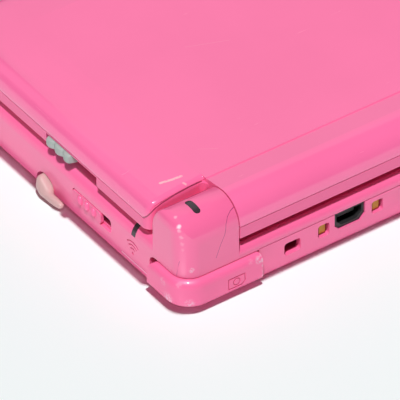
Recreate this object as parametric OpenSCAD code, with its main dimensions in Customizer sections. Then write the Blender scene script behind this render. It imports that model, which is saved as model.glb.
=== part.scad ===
// Clamshell handheld game console, closed.
// X runs to the user's right, Y towards the hinge and Z up. The origin is under the middle of its box.
// Distances called d run along a side wall from the back wall, or along the back wall from the right side.

/* [Casing] */
// Width between the two side walls
casing_w = 153.2; // [140:0.2:190]
// Depth from the front edge to the back wall
casing_d = 91.6; // [88:0.2:112]
// Height of the deck that carries the controls
deck_z = 11.8; // [11.4:0.1:14.2]
// Height of the seam along the bottom edge
rim_z = 0.9; // [0.7:0.1:1.1]
// Thickness of the base's side walls
wall_t = 1.6; // [1.2:0.1:2]
// Thickness of the deck
deck_t = 1.3; // [1:0.1:1.6]
// Thickness of the floor
floor_t = 1.8; // [1.5:0.1:2.2]
// Plan radius of the front corners
front_corner_r = 7; // [5.6:0.1:9]
// Plan radius of the rear corners
rear_corner_r = 4.5; // [3.5:0.1:5.4]
// Rounding of the deck's edge
deck_edge_r = 3.5; // [2.5:0.1:4.4]
// Width of the grooves at the seams between shells
seam_w = 0.2; // [0.1:0.05:0.3]
// Depth of those grooves
seam_depth = 0.35; // [0.2:0.05:0.5]
// Depth of the engraved marks
mark_depth = 0.15; // [0.1:0.05:0.3]
// Height of the seam across the back wall
back_seam_z = 7.9; // [7.4:0.1:8.2]
// Height of the low lip behind the hinge trough
rear_lip_z = 10.6; // [10:0.1:11.2]

/* [Lid] */
// Gap between the deck and the closed lid
lid_gap = 1.3; // [1:0.1:1.6]
// Height of the whole lid
lid_h = 8.1; // [7.6:0.1:9.8]
// Height of the lid's inner shell below the cover's seam
lid_seam_h = 2.8; // [2.4:0.1:3.2]
// Thickness of the lid's walls
lid_wall_t = 1.4; // [1.1:0.1:1.8]
// Thickness of the lid's inner face
lid_face_t = 1.3; // [1:0.1:1.6]
// Edge radius of the cover
lid_edge_r = 5.2; // [4:0.1:5.2]
// Rounding of the lid's rear corners, beside the knuckles
notch_corner_r = 2.2; // [1.8:0.1:3]
// Rounding of the lid's edge over the knuckles
notch_edge_r = 1.6; // [0.6:0.1:1.8]
// Fillet where that edge meets the barrel's end
notch_fillet_r = 1.6; // [1:0.1:1.6]
// Thickness of the cover's edge over the knuckles
notch_lip = 0.9; // [0.7:0.05:1.1]
// Radius of the slight crown that runs into the cover's edges
crown_r = 60; // [40:1:120]
// Width of the crowned strip along each edge
crown_w = 14; // [10:0.5:20]

/* [Hinge] */
// Radius of the hinge barrel and of its knuckles
hinge_r = 5.9; // [5.6:0.1:6.6]
// Depth of the hinge's axis below the lid's top
hinge_drop = 5.1; // [4.4:0.1:5.3]
// Width of each corner knuckle
knuckle_w = 14.1; // [11:0.1:17]
// Rounding of a knuckle's outer end
knuckle_end_r = 1.2; // [0.8:0.1:2]
// Rounding of its top towards that end
knuckle_top_r = 3; // [1:0.1:3.5]
// Radius of the hinge shafts
shaft_r = 2.6; // [2:0.1:3.1]
// Running clearance of the shafts in the barrel
shaft_play = 0.05; // [0.03:0.01:0.1]
// Gap between the barrel's ends and the knuckles
hinge_end_gap = 0.3; // [0.2:0.05:0.6]
// Gap between the turning barrel and the base's trough
trough_gap = 0.35; // [0.3:0.05:0.6]

/* [Screens] */
// Width of the upper picture
top_screen_w = 106.2; // [88:0.1:110]
// Depth of the upper picture
top_screen_d = 63.7; // [53:0.1:66]
// Width of the touch screen's picture
touch_screen_w = 85; // [70:0.1:85]
// Depth of the touch screen's picture
touch_screen_d = 63.7; // [53:0.1:63.7]

/* [Controls] */
// Distance of the control clusters from the side walls
control_inset = 17.4; // [16.8:0.1:17.6]
// Radius of the sliding circle pad's cap
pad_r = 8.5; // [7:0.1:8.5]
// Travel of the circle pad each way
pad_travel = 1.4; // [0.8:0.1:1.4]
// Span of the direction cross
cross_w = 20; // [16:0.5:20]
// Width of one arm of the cross
cross_arm = 6.8; // [5.5:0.1:8]
// Tilt of the cross each way
cross_tilt = 2.5; // [1:0.1:2.5]
// Radius of a face button
face_r = 3.9; // [3.2:0.1:4.2]
// Distance of each face button from the middle of its cluster
face_spread = 7.4; // [7:0.1:8.6]
// Travel of a face button
face_press = 0.8; // [0.4:0.1:0.8]
// Width of the select, home and start keys
key_w = 12; // [9:0.5:14]
// Depth of those keys
key_d = 4.2; // [3.2:0.1:4.4]
// Radius of the power key
power_key_r = 3.1; // [2.4:0.1:3.6]
// Clearance round every key in its hole
key_gap = 0.3; // [0.2:0.05:0.4]

/* [Shoulder buttons] */
// How far the shoulder buttons stand out of the walls
shoulder_out = 1.4; // [0.8:0.1:2]
// Length of a shoulder button along the back wall
shoulder_l = 19.2; // [16:0.1:22]
// Length that wraps round onto the side wall
shoulder_wrap = 11.4; // [9:0.1:12]
// Thickness of a shoulder button's shell
shoulder_t = 3; // [2.4:0.1:3.6]
// Rounding of its upper front corner
shoulder_nose_r = 3; // [1.5:0.1:3.4]
// Rounding of its inner end
shoulder_end_r = 1; // [0.6:0.1:1.4]
// Swing of a shoulder button in degrees
shoulder_swing = 2.2; // [1:0.1:2.2]

/* [Stylus] */
// Distance of the stylus from the back wall
stylus_d = 50.8; // [46:0.1:56]
// Height of the stylus's middle
stylus_z = 2.6; // [2.5:0.1:2.9]
// Radius of the stylus's shaft
stylus_r = 1.5; // [1.2:0.1:1.5]
// Length of the stylus's shaft
stylus_l = 94; // [70:1:98]

/* [Side fittings] */
// Near and far ends of the wireless switch's recess
switch_d = [26.3, 40.5];
// Length of the wireless switch's knob
switch_knob_l = 10.4; // [8:0.1:11]
// Near and far ends of the depth slider's window in the lid
depth_window_d = [31.4, 50];
// Length of the depth slider's knob
depth_knob_l = 9.6; // [7:0.1:12]
// Near and far ends of the memory card door
card_door_d = [68, 83];
// Near and far ends of the volume slider's slot
volume_d = [30, 44];
// Length of the volume slider's knob
volume_knob_l = 6; // [4:0.1:8]

/* [Back fittings] */
// Distance of the power socket's middle from the right side wall
power_socket_d = 42.5; // [40:0.1:46]
// Width of the power socket's opening
power_socket_w = 7.9; // [6.6:0.1:9]
// Distance of the strap hole's middle from the right side wall
strap_d = 27.7; // [26:0.1:30]
// Width of the game card slot
card_w = 35.4; // [30:0.1:38]
// Height of the game card slot
card_h = 4.4; // [4.3:0.1:4.6]
// Depth of the game card slot
card_l = 32; // [26:0.5:36]
// Distance of the game card slot's middle from the casing's middle
card_x = -8; // [-12:0.5:-4]

/* [Headphone jack] */
// Radius of the headphone bore
jack_r = 1.75; // [1.25:0.05:1.8]
// Depth of the headphone bore
jack_l = 14; // [11:0.5:16]

/* [Hidden] */
$fn = 48;

// Casing planes
side_x = casing_w / 2;
front_y = -(casing_d + shoulder_out) / 2;
back_y = front_y + casing_d;
deck_under_z = deck_z - deck_t;

// Hinge and lid
axis_y = back_y - hinge_r;
lid_z = deck_z + lid_gap;
lid_top_z = lid_z + lid_h;
hinge_z = lid_top_z - hinge_drop;
lid_seam_z = lid_z + lid_seam_h;
lid_face_top_z = lid_z + lid_face_t;
lid_plate_under_z = lid_top_z - lid_wall_t;
knuckle_x = side_x - knuckle_w;
barrel_x = knuckle_x - hinge_end_gap;
knuckle_y = axis_y - hinge_r;
lid_rear_y = knuckle_y - 0.8;
trough_r = norm([hinge_r, hinge_z - lid_z]) + trough_gap;
trough_skin = 1;
trough_front_y = axis_y - sqrt(trough_r * trough_r - pow(hinge_z - deck_z, 2));
barrel_crease_y = axis_y - hinge_r - 0.3;
shaft_bore_r = shaft_r + shaft_play;
shaft_l = 30;

// Stack inside the base
cover_t = 0.9;
cover_pocket = 0.95;
board_z = 7.7;
board_t = 0.8;
board_top_z = board_z + board_t;
screen_recess = 0.5;
touch_frame = 1.2;
touch_w = touch_screen_w + 2 * touch_frame;
touch_d = touch_screen_d + 2 * touch_frame;
touch_y = trough_front_y - 1.6 - touch_d / 2;
battery_w = 64;
battery_d = 26;
battery_y = front_y + 21.5;
battery_top_z = board_z - 0.8;

// Controls
deck_hole_l = deck_z - board_z + 2;
pad_stem_z = board_z - 1.3;
control_x = side_x - control_inset;
upper_control_y = 14;
lower_control_y = -14;
pad_reach = pad_travel * sqrt(2);
pad_hole_r = pad_r + pad_reach + key_gap;
pad_skirt_r = pad_hole_r + pad_reach + 0.1;
pad_well_r = pad_skirt_r + pad_reach + 0.15;
pad_top_z = deck_z + 0.85;
flange_z = deck_under_z - 0.3;
flange_t = 0.6;
face_flange_r = face_r + 0.9;
dome_h = 0.8;
face_hollow_z = board_top_z + dome_h + face_press + 0.3;
cross_top_z = deck_z + 0.7;
cross_flange_r = cross_w / 2 + 1;
pivot_z = deck_under_z - 2.9;
cross_flange_z = deck_under_z - 0.75 - cross_flange_r * sin(cross_tilt);
key_y = front_y + 6.4;
key_pitch = 17;
power_key_x = side_x - 11;
power_key_y = front_y + 10.5;
key_top_z = deck_z + 0.3;

// Shoulder buttons
shoulder_r = rear_corner_r + shoulder_out;
shoulder_inner_x = side_x - shoulder_l;
shoulder_front_y = back_y - shoulder_wrap;
shoulder_low_z = rim_z + 0.15;
shoulder_top_z = back_seam_z - 0.2;
shoulder_pin_x = shoulder_inner_x + 2.2;
shoulder_front_gap = 0.2 + (side_x + shoulder_out - shoulder_pin_x) * sin(shoulder_swing);
shoulder_pin_y = back_y - 3.4;
shoulder_pin_r = 0.7;
shoulder_spring_x = shoulder_pin_x + 4.8;
shoulder_spring_y = shoulder_pin_y - 4;
shoulder_spring_r = 1.2;
shoulder_wire_r = 0.3;
shoulder_spring_z = 2.6;

// Stylus
stylus_y = back_y - stylus_d;
stylus_bore_r = stylus_r + 0.15;
stylus_tube_r = stylus_bore_r + 0.45;
stylus_notch_r = 3.4;
stylus_notch_top_z = stylus_z + 1.6;

// Side fittings
switch_z = [3.9, 7.4];
switch_recess = 0.7;
depth_window_z = [lid_z - 0.1, lid_seam_z - 0.25];
card_door_z = [3, 7.2];
card_door_t = 1.2;
volume_z = [4.4, 7.2];
light_d = [17.5, 18.9];
lip_d = [12.5, 22.6];
lip_z = 1.9;

// Back fittings
card_z = 3;
card_wall = 0.3;
power_socket_x = side_x - power_socket_d;
power_socket_z = [3.5, 8.1];
contact_x = [side_x - 35.75, side_x - 49.6];
contact_w = 2.9;
contact_z = [3.6, 6.8];
strap_x = side_x - strap_d;
infrared_x = card_x + card_w / 2 + 7.3;
infrared_w = 6.4;
jack_x = -(side_x - 14);
jack_z = 4.9;
jack_body_r = 2.6;

// Fasteners
case_screw_places = [
    [side_x - 5.4, front_y + 6.8], [5.4 - side_x, front_y + 6.8],
    [side_x - 26.6, axis_y - 6], [26.6 - side_x, axis_y - 6]
];
screw_r = 0.8;
screw_head_r = 1.7;
boss_r = 2.1;
cover_screw_places = [[side_x - 24, battery_y], [24 - side_x, battery_y]];

// Lid fittings
lid_mid_y = (front_y + lid_rear_y) / 2;
top_screen_y = lid_mid_y + 1.5;
window_w = top_screen_w + 12;
window_d = top_screen_d + 7;
window_t = 0.8;
window_z = lid_z + 0.15;
top_screen_top_z = window_z + window_t + 3.9;
inner_camera_y = top_screen_y - window_d / 2 - 1.75;
inner_camera_r = 1.3;
camera_pitch = 35;
camera_y = top_screen_y - top_screen_d / 2 + 0.35;
camera_r = 3.4;
camera_glass_z = lid_top_z - 0.95;
speaker_x = side_x - 8.6;
bumper_places = [
    [side_x - 6, front_y + 6.5], [6 - side_x, front_y + 6.5],
    [side_x - 6, lid_rear_y - 5], [6 - side_x, lid_rear_y - 5]
];
bumper_r = 2;

// A box given by its two ends along each axis
module block(x, y, z) {
    translate([x[0], y[0], z[0]]) cube([x[1] - x[0], y[1] - y[0], z[1] - z[0]]);
}

// Section of a slab with its upper and lower edges rounded, standing on the first axis
module slab_section(w, h, top_r, low_r) {
    translate([-w / 2, low_r]) square([w, h - top_r - low_r]);
    translate([top_r - w / 2, low_r]) square([w - 2 * top_r, h - low_r]);
    translate([low_r - w / 2, 0]) square([w - 2 * low_r, h - top_r]);
    for (s = [-1, 1]) {
        translate([s * (w / 2 - top_r), h - top_r]) circle(top_r);
        if (low_r > 0) translate([s * (w / 2 - low_r), low_r]) circle(low_r);
    }
}

// Slab whose plan has round corners and whose edges are rounded all the way round
module soft_slab(w, d, h, corner_r, top_r, low_r = 0) {
    rotate([90, 0, 0]) linear_extrude(d - 2 * corner_r, center = true) slab_section(w, h, top_r, low_r);
    rotate([90, 0, 90]) linear_extrude(w - 2 * corner_r, center = true) slab_section(d, h, top_r, low_r);
    for (sx = [-1, 1], sy = [-1, 1])
        translate([sx * (w / 2 - corner_r), sy * (d / 2 - corner_r), 0])
            rotate_extrude() intersection() {
                slab_section(2 * corner_r, h, top_r, low_r);
                square([corner_r, h]);
            }
}

// Flat plate with round plan corners
module plate(w, d, h, r) {
    linear_extrude(h) {
        square([w - 2 * r, d], center = true);
        square([w, d - 2 * r], center = true);
        for (sx = [-1, 1], sy = [-1, 1]) translate([sx * (w / 2 - r), sy * (d / 2 - r)]) circle(r);
    }
}

// Plate with round corners that stands in the side wall, given by its two ends along each axis
module side_plate(x, y, z, r) {
    translate([x[0], (y[0] + y[1]) / 2, (z[0] + z[1]) / 2]) rotate([90, 0, 90])
        plate(y[1] - y[0], z[1] - z[0], x[1] - x[0], r);
}

// The same, standing in the back wall
module back_plate(x, y, z, r) {
    translate([(x[0] + x[1]) / 2, y[1], (z[0] + z[1]) / 2]) rotate([90, 0, 0])
        plate(x[1] - x[0], z[1] - z[0], y[1] - y[0], r);
}

// Cylinder along the hinge axis from one X to another
module hinge_rod(x, r) {
    translate([x[0], axis_y, hinge_z]) rotate([0, 90, 0]) cylinder(h = x[1] - x[0], r = r);
}

// The same thing on the right and, mirrored, on the left
module both_sides() {
    children();
    mirror([1, 0, 0]) children();
}

// Outer form of the base, or of the space inside it when it is inset
module base_form(inset = 0, drop = 0) {
    intersection() {
        soft_slab(casing_w - 2 * inset, -2 * (front_y + inset), deck_z - drop,
            front_corner_r - inset, deck_edge_r - inset, inset > 0 ? 0 : 1);
        block([-side_x, side_x], [front_y, axis_y], [0, deck_z]);
    }
    intersection() {
        soft_slab(casing_w - 2 * inset, 2 * (back_y - inset), rear_lip_z - drop,
            rear_corner_r - inset, 2.5 - inset / 2, inset > 0 ? 0 : 1);
        block([-side_x, side_x], [axis_y - 0.01, back_y], [0, deck_z]);
    }
}

// Corner knuckle of the hinge on the right
module knuckle() {
    intersection() {
        union() {
            translate([side_x, axis_y, hinge_z]) rotate([0, -90, 0]) rotate_extrude()
                intersection() {
                    slab_section(2 * hinge_r, 2 * knuckle_w, knuckle_end_r, knuckle_end_r);
                    square([hinge_r, knuckle_w]);
                }
            intersection() {
                translate([knuckle_x, axis_y, back_seam_z])
                    plate(2 * knuckle_w, 2 * hinge_r, hinge_z - back_seam_z, knuckle_end_r);
                block([knuckle_x, side_x], [knuckle_y, back_y], [0, hinge_z]);
            }
        }
        translate([0, 0, back_seam_z])
            soft_slab(casing_w, 2 * back_y, hinge_z + hinge_r - back_seam_z, rear_corner_r, knuckle_top_r);
    }
}

// Space that a shoulder button and its swing take out of the shells
module shoulder_pocket() {
    intersection() {
        block([shoulder_inner_x - 0.25, side_x + 1],
            [shoulder_front_y - shoulder_front_gap, back_y + 1], [rim_z, back_seam_z]);
        shoulder_side(shoulder_front_gap, rim_z, back_seam_z);
    }
}

// Side view of a shoulder button, grown for its pocket, with its upper front corner rounded
module shoulder_side(grow, low_z, top_z) {
    front = shoulder_front_y - grow;
    r = shoulder_nose_r - grow;
    translate([shoulder_inner_x - 1, 0, 0]) rotate([90, 0, 90]) linear_extrude(shoulder_l + 4) {
        translate([front, low_z]) square([back_y + 3 - front, top_z - low_z - r]);
        translate([front + r, low_z]) square([back_y + 3 - front - r, top_z - low_z]);
        translate([front + r, top_z - r]) circle(r);
    }
}

// Arched notch for the stylus's tail, through the wall and down past the rim
module stylus_notch(from_x) {
    translate([from_x, stylus_y, 0]) rotate([90, 0, 90]) linear_extrude(side_x - from_x + 1) {
        translate([0, stylus_notch_top_z - stylus_notch_r]) circle(stylus_notch_r);
        translate([-stylus_notch_r, -1])
            square([2 * stylus_notch_r, stylus_notch_top_z - stylus_notch_r + 1]);
    }
}

// Cross-shaped outline of the direction pad
module cross_outline(grow = 0) {
    for (turn = [0, 90]) rotate(turn) {
        square([cross_w - 2 + 2 * grow, cross_arm + 2 * grow], center = true);
        square([cross_w + 2 * grow, cross_arm - 2 + 2 * grow], center = true);
        for (sx = [-1, 1], sy = [-1, 1])
            translate([sx * (cross_w / 2 - 1), sy * (cross_arm / 2 - 1)]) circle(1 + grow);
    }
}

module at_face_button(place) {
    translate([control_x, upper_control_y, 0]) rotate(90 * place) translate([face_spread, 0, 0]) children();
}

// Holes in the deck for everything that is worked by the thumbs
module deck_holes() {
    translate([0, touch_y, board_top_z]) plate(touch_w + 2 * key_gap, touch_d + 2 * key_gap, deck_hole_l, 1);
    translate([-control_x, upper_control_y, board_z]) cylinder(h = deck_hole_l, r = pad_hole_r);
    translate([-control_x, upper_control_y, deck_z - 0.5])
        cylinder(h = 2, r1 = pad_hole_r + 0.4, r2 = pad_hole_r + 2.4);
    translate([-control_x, lower_control_y, board_z]) linear_extrude(deck_hole_l) cross_outline(key_gap + 0.15);
    for (place = [0:3])
        at_face_button(place) translate([0, 0, board_z]) cylinder(h = deck_hole_l, r = face_r + key_gap);
    for (place = [-1:1])
        translate([place * key_pitch, key_y, board_z])
            plate(key_w + 2 * key_gap, key_d + 2 * key_gap, deck_hole_l, 1.6);
    translate([power_key_x, power_key_y, board_z]) cylinder(h = deck_hole_l, r = power_key_r + key_gap);
    for (place = [0, 1])
        translate([power_key_x - 12 - 5 * place, front_y + 5.6, board_z]) plate(2.4, 1.2, deck_hole_l, 0.5);
    translate([key_pitch * 1.5, key_y + 1.2, board_z]) cylinder(h = deck_hole_l, r = 0.5);
}

// Openings in the base's side walls and front edge
module wall_holes() {
    side_plate([side_x - switch_recess, side_x + 1],
        [back_y - switch_d[1], back_y - switch_d[0]], switch_z, 0.9);
    block([side_x - 4, side_x + 1], [back_y - switch_d[1] + 1, back_y - switch_d[0] - 1],
        [switch_z[0] + 0.7, switch_z[1] - 0.7]);
    block([side_x - 1.2, side_x + 1], [back_y - light_d[1], back_y - light_d[0]], [8.6, deck_z + 1]);
    block([side_x - 3.4, side_x + 1], [back_y - light_d[1], back_y - light_d[0]], [deck_under_z, deck_z + 1]);
    stylus_notch(side_x - 4);
    side_plate([side_x - card_door_t, side_x + 1],
        [back_y - card_door_d[1], back_y - card_door_d[0]], card_door_z, 0.7);
    block([side_x - 4, side_x + 1], [back_y - card_door_d[1] + 1.2, back_y - card_door_d[0] - 1.2],
        [card_door_z[0] + 0.8, card_door_z[1] - 0.8]);
    mirror([1, 0, 0]) side_plate([side_x - 0.7, side_x + 1],
        [back_y - volume_d[1], back_y - volume_d[0]], volume_z, 0.6);
    block([side_x - wall_t - 0.1, side_x + 1],
        [back_y - lip_d[1] - 0.1, back_y - lip_d[0] + 0.1], [0, lip_z + 0.1]);
    wave_mark();
    block([-side_x - 1, 4 - side_x], [back_y - volume_d[1] + 0.8, back_y - volume_d[0] - 0.8],
        [volume_z[0] + 0.7, volume_z[1] - 0.7]);
    translate([jack_x, front_y - 1, jack_z]) rotate([-90, 0, 0]) cylinder(h = 5, r = jack_body_r);
}

module base_upper_shell() color([0.93, 0.42, 0.62]) {
    difference() {
        union() {
            intersection() {
                base_form();
                block([-side_x, side_x], [front_y, back_y], [rim_z, deck_z]);
            }
            both_sides() knuckle();
        }
        difference() {
            base_form(wall_t, deck_t);
            hinge_rod([-knuckle_x, knuckle_x], trough_r + trough_skin);
            both_sides() block([knuckle_x - 1.2, side_x], [knuckle_y - 1.4, back_y], [back_seam_z, deck_z]);
            for (p = case_screw_places) translate([p[0], p[1], floor_t]) cylinder(h = deck_z, r = boss_r);
        }
        hinge_rod([-knuckle_x, knuckle_x], trough_r);
        block([-knuckle_x, knuckle_x], [trough_front_y + 1.2, back_y + 1], [rear_lip_z, 2 * deck_z]);
        block([-shoulder_inner_x - 0.25, shoulder_inner_x + 0.25], [back_y - wall_t - 3, back_y + 1],
            [rim_z - 1, back_seam_z]);
        both_sides() shoulder_pocket();
        hinge_rod([-side_x + 3, side_x - 3], shaft_r);
        block([-shoulder_inner_x, shoulder_inner_x], [back_y - seam_depth, back_y + 1],
            [back_seam_z, back_seam_z + seam_w]);
        port_form(0, [back_y - 9, back_y + 1]);
        notification_slot();
        deck_holes();
        wall_holes();
        for (p = case_screw_places) translate([p[0], p[1], 0]) cylinder(h = board_z, r = screw_r);
    }
}

// Slot over the top of the right knuckle for its light
module notification_slot() {
    translate([side_x - 6.4, axis_y + 0.3, hinge_z + hinge_r - 1]) plate(1.6, 4.4, 2, 0.75);
}

module base_lower_shell() color([0.9, 0.4, 0.6]) {
    difference() {
        union() {
            intersection() {
                base_form();
                block([-side_x, side_x], [front_y, back_y], [0, rim_z]);
            }
            intersection() {
                base_form(wall_t + 0.15, deck_t);
                difference() {
                    block([-side_x, side_x], [front_y, back_y - wall_t - 0.15], [rim_z, floor_t]);
                    both_sides() shoulder_pocket();
                }
            }
            intersection() {
                base_form();
                block([-shoulder_inner_x, shoulder_inner_x], [back_y - wall_t, back_y], [0, back_seam_z]);
            }
            intersection() {
                base_form();
                block([side_x - wall_t, side_x], [back_y - lip_d[1], back_y - lip_d[0]], [0, lip_z]);
            }
            block([-shoulder_inner_x, shoulder_inner_x],
                [back_y - wall_t - 3, back_y - wall_t], [0.5, floor_t]);
            both_sides() shoulder_post();
            both_sides() block([strap_x - 0.8, strap_x + 0.8],
                [back_y - 5.2, back_y - 3.8], [floor_t, back_seam_z]);
            for (p = cover_screw_places) translate([p[0], p[1], cover_pocket]) cylinder(h = 4, r = boss_r);
            block([-battery_w / 2 - 1.2, battery_w / 2 + 1.2],
                [battery_y + battery_d / 2 + 0.2, battery_y + battery_d / 2 + 1.2], [floor_t, 5]);
        }
        translate([0, battery_y, -1]) plate(casing_w - 20.4, battery_d + 6.4, 1 + cover_pocket, 5);
        translate([0, battery_y, -1]) plate(battery_w + 0.4, battery_d + 0.4, 5, 1);
        for (p = cover_screw_places) translate([p[0], p[1], 0]) cylinder(h = 10, r = screw_r);
        for (p = case_screw_places) {
            translate([p[0], p[1], -1]) cylinder(h = 10, r = screw_r);
            translate([p[0], p[1], -1]) cylinder(h = 2, r = screw_head_r);
        }
        stylus_notch(side_x - 3.4);
        translate([side_x - stylus_l - 2, stylus_y, stylus_z]) rotate([0, 90, 0])
            cylinder(h = stylus_l + 4, r = stylus_tube_r);
        back_wall_holes();
        both_sides() translate([shoulder_pin_x, shoulder_pin_y, 0.5]) cylinder(h = 12, r = shoulder_pin_r);
    }
}

// Post behind a shoulder button, which carries its pin and backs its swing
module shoulder_post() {
    reach = shoulder_t + 1.1 - shoulder_out;
    difference() {
        intersection() {
            soft_slab(casing_w - 2 * reach, 2 * (back_y - reach), back_seam_z, rear_corner_r - 0.5, 0.4);
            block([shoulder_inner_x + 4.4, side_x], [shoulder_front_y - 0.4, back_y], [rim_z, back_seam_z]);
            shoulder_side(0.4, rim_z, back_seam_z);
        }
        translate([shoulder_spring_x, shoulder_spring_y, shoulder_spring_z - shoulder_wire_r])
            cylinder(h = back_seam_z, r = shoulder_spring_r + shoulder_wire_r + 0.1);
    }
}

// Openings in the back wall's lower part
module back_wall_holes() {
    y = [back_y - 3, back_y + 1];
    port_form(0, [back_y - 9, back_y + 1]);
    for (x = contact_x) back_plate([x - contact_w / 2, x + contact_w / 2], y, contact_z, 0.6);
    for (s = [-1, 1]) back_plate([s * strap_x - 2.1, s * strap_x + 2.1], y, [3, 6.2], 0.8);
    back_plate([card_x - card_w / 2, card_x + card_w / 2], y, [card_z, card_z + card_h], 0.3);
    back_plate([infrared_x - infrared_w / 2, infrared_x + infrared_w / 2], y, [3.2, 7.2], 1);
}

// Outline of the power port with its lower corners cut off, smaller by a play all round
module port_form(play, y) {
    w = power_socket_w / 2 - play;
    z = [power_socket_z[0] + play, power_socket_z[1] - play];
    cut = 1.3;
    translate([power_socket_x, y[1], 0]) rotate([90, 0, 0]) linear_extrude(y[1] - y[0])
        polygon([[-w, z[0] + cut], [cut - w, z[0]], [w - cut, z[0]], [w, z[0] + cut], [w, z[1]], [-w, z[1]]]);
}

module battery_cover() color([0.88, 0.38, 0.58]) {
    difference() {
        translate([0, battery_y, 0]) plate(casing_w - 20.6, battery_d + 6.2, cover_t, 5);
        for (p = cover_screw_places) {
            translate([p[0], p[1], -1]) cylinder(h = 4, r = screw_r + 0.1);
            translate([p[0], p[1], -1]) cylinder(h = 1.5, r = screw_head_r);
        }
    }
}

// Cross-head screw standing on its head, with its tip up
module screw(low_z, length, head_t) {
    difference() {
        union() {
            translate([0, 0, low_z]) cylinder(h = head_t, r = screw_head_r - 0.1);
            translate([0, 0, low_z]) cylinder(h = length, r = screw_r);
        }
        for (turn = [0, 90]) rotate(turn) translate([-0.9, -0.2, low_z - 1]) cube([1.8, 0.4, 1.5]);
    }
}

module battery_cover_screws() color([0.6, 0.6, 0.62])
    for (p = cover_screw_places) translate([p[0], p[1], 0]) screw(0.1, 4, 0.4);

module case_screws() color([0.6, 0.6, 0.62])
    for (p = case_screw_places) translate([p[0], p[1], 0]) screw(0.2, 7, 0.8);

module battery() color([0.2, 0.2, 0.22]) {
    translate([0, battery_y, cover_t]) plate(battery_w, battery_d, battery_top_z - cover_t, 2);
}

module main_board() color([0.1, 0.4, 0.25]) {
    board_back_y = axis_y - 9.6;
    difference() {
        translate([0, (front_y + board_back_y) / 2 + 1.5, board_z])
            plate(casing_w - 6, board_back_y - front_y - 5, board_t, 3);
        translate([-control_x, upper_control_y, 0]) cylinder(h = 20, r = pad_well_r + 0.2);
        block([-side_x, -control_x], [upper_control_y - 1, back_y], [0, 20]);
        translate([-control_x, lower_control_y, 0]) cylinder(h = 20, r = 3);
        for (p = case_screw_places) translate([p[0], p[1], 0]) cylinder(h = 20, r = boss_r + 0.3);
        for (s = [-1, 1])
            block([s * side_x - 7, s * side_x + 7], [back_y - 45, back_y - 12], [0, 20]);
    }
}

module touch_screen() color([0.05, 0.05, 0.06]) {
    translate([0, touch_y, board_top_z]) difference() {
        plate(touch_w, touch_d, deck_z - screen_recess - board_top_z, 0.8);
        translate([-touch_screen_w / 2, -touch_screen_d / 2, deck_z - screen_recess - board_top_z - 0.15])
            cube([touch_screen_w, touch_screen_d, 1]);
    }
}

module game_card_socket() color([0.7, 0.7, 0.72]) {
    low = card_z - card_wall;
    difference() {
        block([card_x - card_w / 2 - 1, card_x + card_w / 2 + 1],
            [back_y - wall_t - card_l, back_y - wall_t], [low, board_z]);
        block([card_x - card_w / 2, card_x + card_w / 2],
            [back_y - wall_t - card_l + 2, back_y], [card_z, card_z + card_h]);
    }
    for (contact = [0:7])
        block([card_x - 14 + 3.6 * contact, card_x - 12.6 + 3.6 * contact],
            [back_y - wall_t - card_l + 1.9, back_y - wall_t - card_l + 5], [low + 0.1, card_z + 0.2]);
}

module memory_card_socket() color([0.7, 0.7, 0.72]) {
    mid_y = back_y - (card_door_d[0] + card_door_d[1]) / 2;
    difference() {
        block([side_x - 20, side_x - 4.2], [mid_y - 6.4, mid_y + 6.4], [3.9, 6.3]);
        block([side_x - 19, side_x], [mid_y - 5.7, mid_y + 5.7], [4.5, 5.7]);
    }
    block([side_x - 18, side_x - 8], [mid_y - 5, mid_y + 5], [6.3, board_z]);
}

module power_socket() color([0.12, 0.12, 0.12]) {
    z = power_socket_z[1] - 2.6;
    difference() {
        port_form(0.1, [back_y - 8.4, back_y - 0.4]);
        port_form(0.7, [back_y - 7, back_y + 1]);
    }
    block([power_socket_x - power_socket_w / 2 + 1.8, power_socket_x + power_socket_w / 2 - 1.8],
        [back_y - 7.2, back_y - 1.6], [z, z + 0.8]);
}

module charge_contacts() color([0.72, 0.55, 0.25]) {
    for (x = contact_x) {
        block([x - contact_w / 2 - 0.6, x + contact_w / 2 + 0.6],
            [back_y - wall_t - 0.8, back_y - wall_t], [contact_z[0] - 0.6, contact_z[1] + 0.6]);
        block([x - 0.8, x + 0.8], [back_y - wall_t - 0.1, back_y - 0.7],
            [contact_z[0] + 0.5, contact_z[1] - 0.5]);
    }
}

module headphone_jack() color([0.15, 0.15, 0.16]) {
    difference() {
        union() {
            translate([jack_x, front_y + 0.2, jack_z]) rotate([-90, 0, 0])
                cylinder(h = 4, r = jack_body_r - 0.1);
            block([jack_x - 3.4, jack_x + 3.4], [front_y + wall_t + 0.05, front_y + jack_l + 1.2],
                [floor_t, board_z]);
        }
        translate([jack_x, front_y, jack_z]) rotate([-90, 0, 0]) cylinder(h = jack_l, r = jack_r);
    }
}

module infrared_window() color([0.06, 0.03, 0.05]) {
    back_plate([infrared_x - infrared_w / 2 + 0.1, infrared_x + infrared_w / 2 - 0.1],
        [back_y - wall_t - 1, back_y - 0.15], [3.3, 7.1], 0.9);
}

module notification_light() color([0.2, 0.15, 0.18]) {
    intersection() {
        translate([side_x - 6.4, axis_y + 0.3, hinge_z + hinge_r - 1]) plate(1.5, 4.3, 2, 0.7);
        hinge_rod([knuckle_x, side_x], hinge_r + 0.02);
    }
}

module wireless_light() color([0.2, 0.15, 0.18]) {
    y = [back_y - light_d[1] + 0.05, back_y - light_d[0] - 0.05];
    intersection() {
        base_form();
        union() {
            block([side_x - 1.2, side_x], y, [8.65, deck_z]);
            block([side_x - 3.35, side_x], y, [deck_under_z, deck_z]);
        }
    }
}

module status_lights() color([0.3, 0.5, 0.35]) {
    for (place = [0, 1])
        translate([power_key_x - 12 - 5 * place, front_y + 5.6, board_top_z]) {
            plate(2.2, 1, deck_z - board_top_z - 0.05, 0.4);
            plate(3, 2, 1, 0.4);
        }
}

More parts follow.
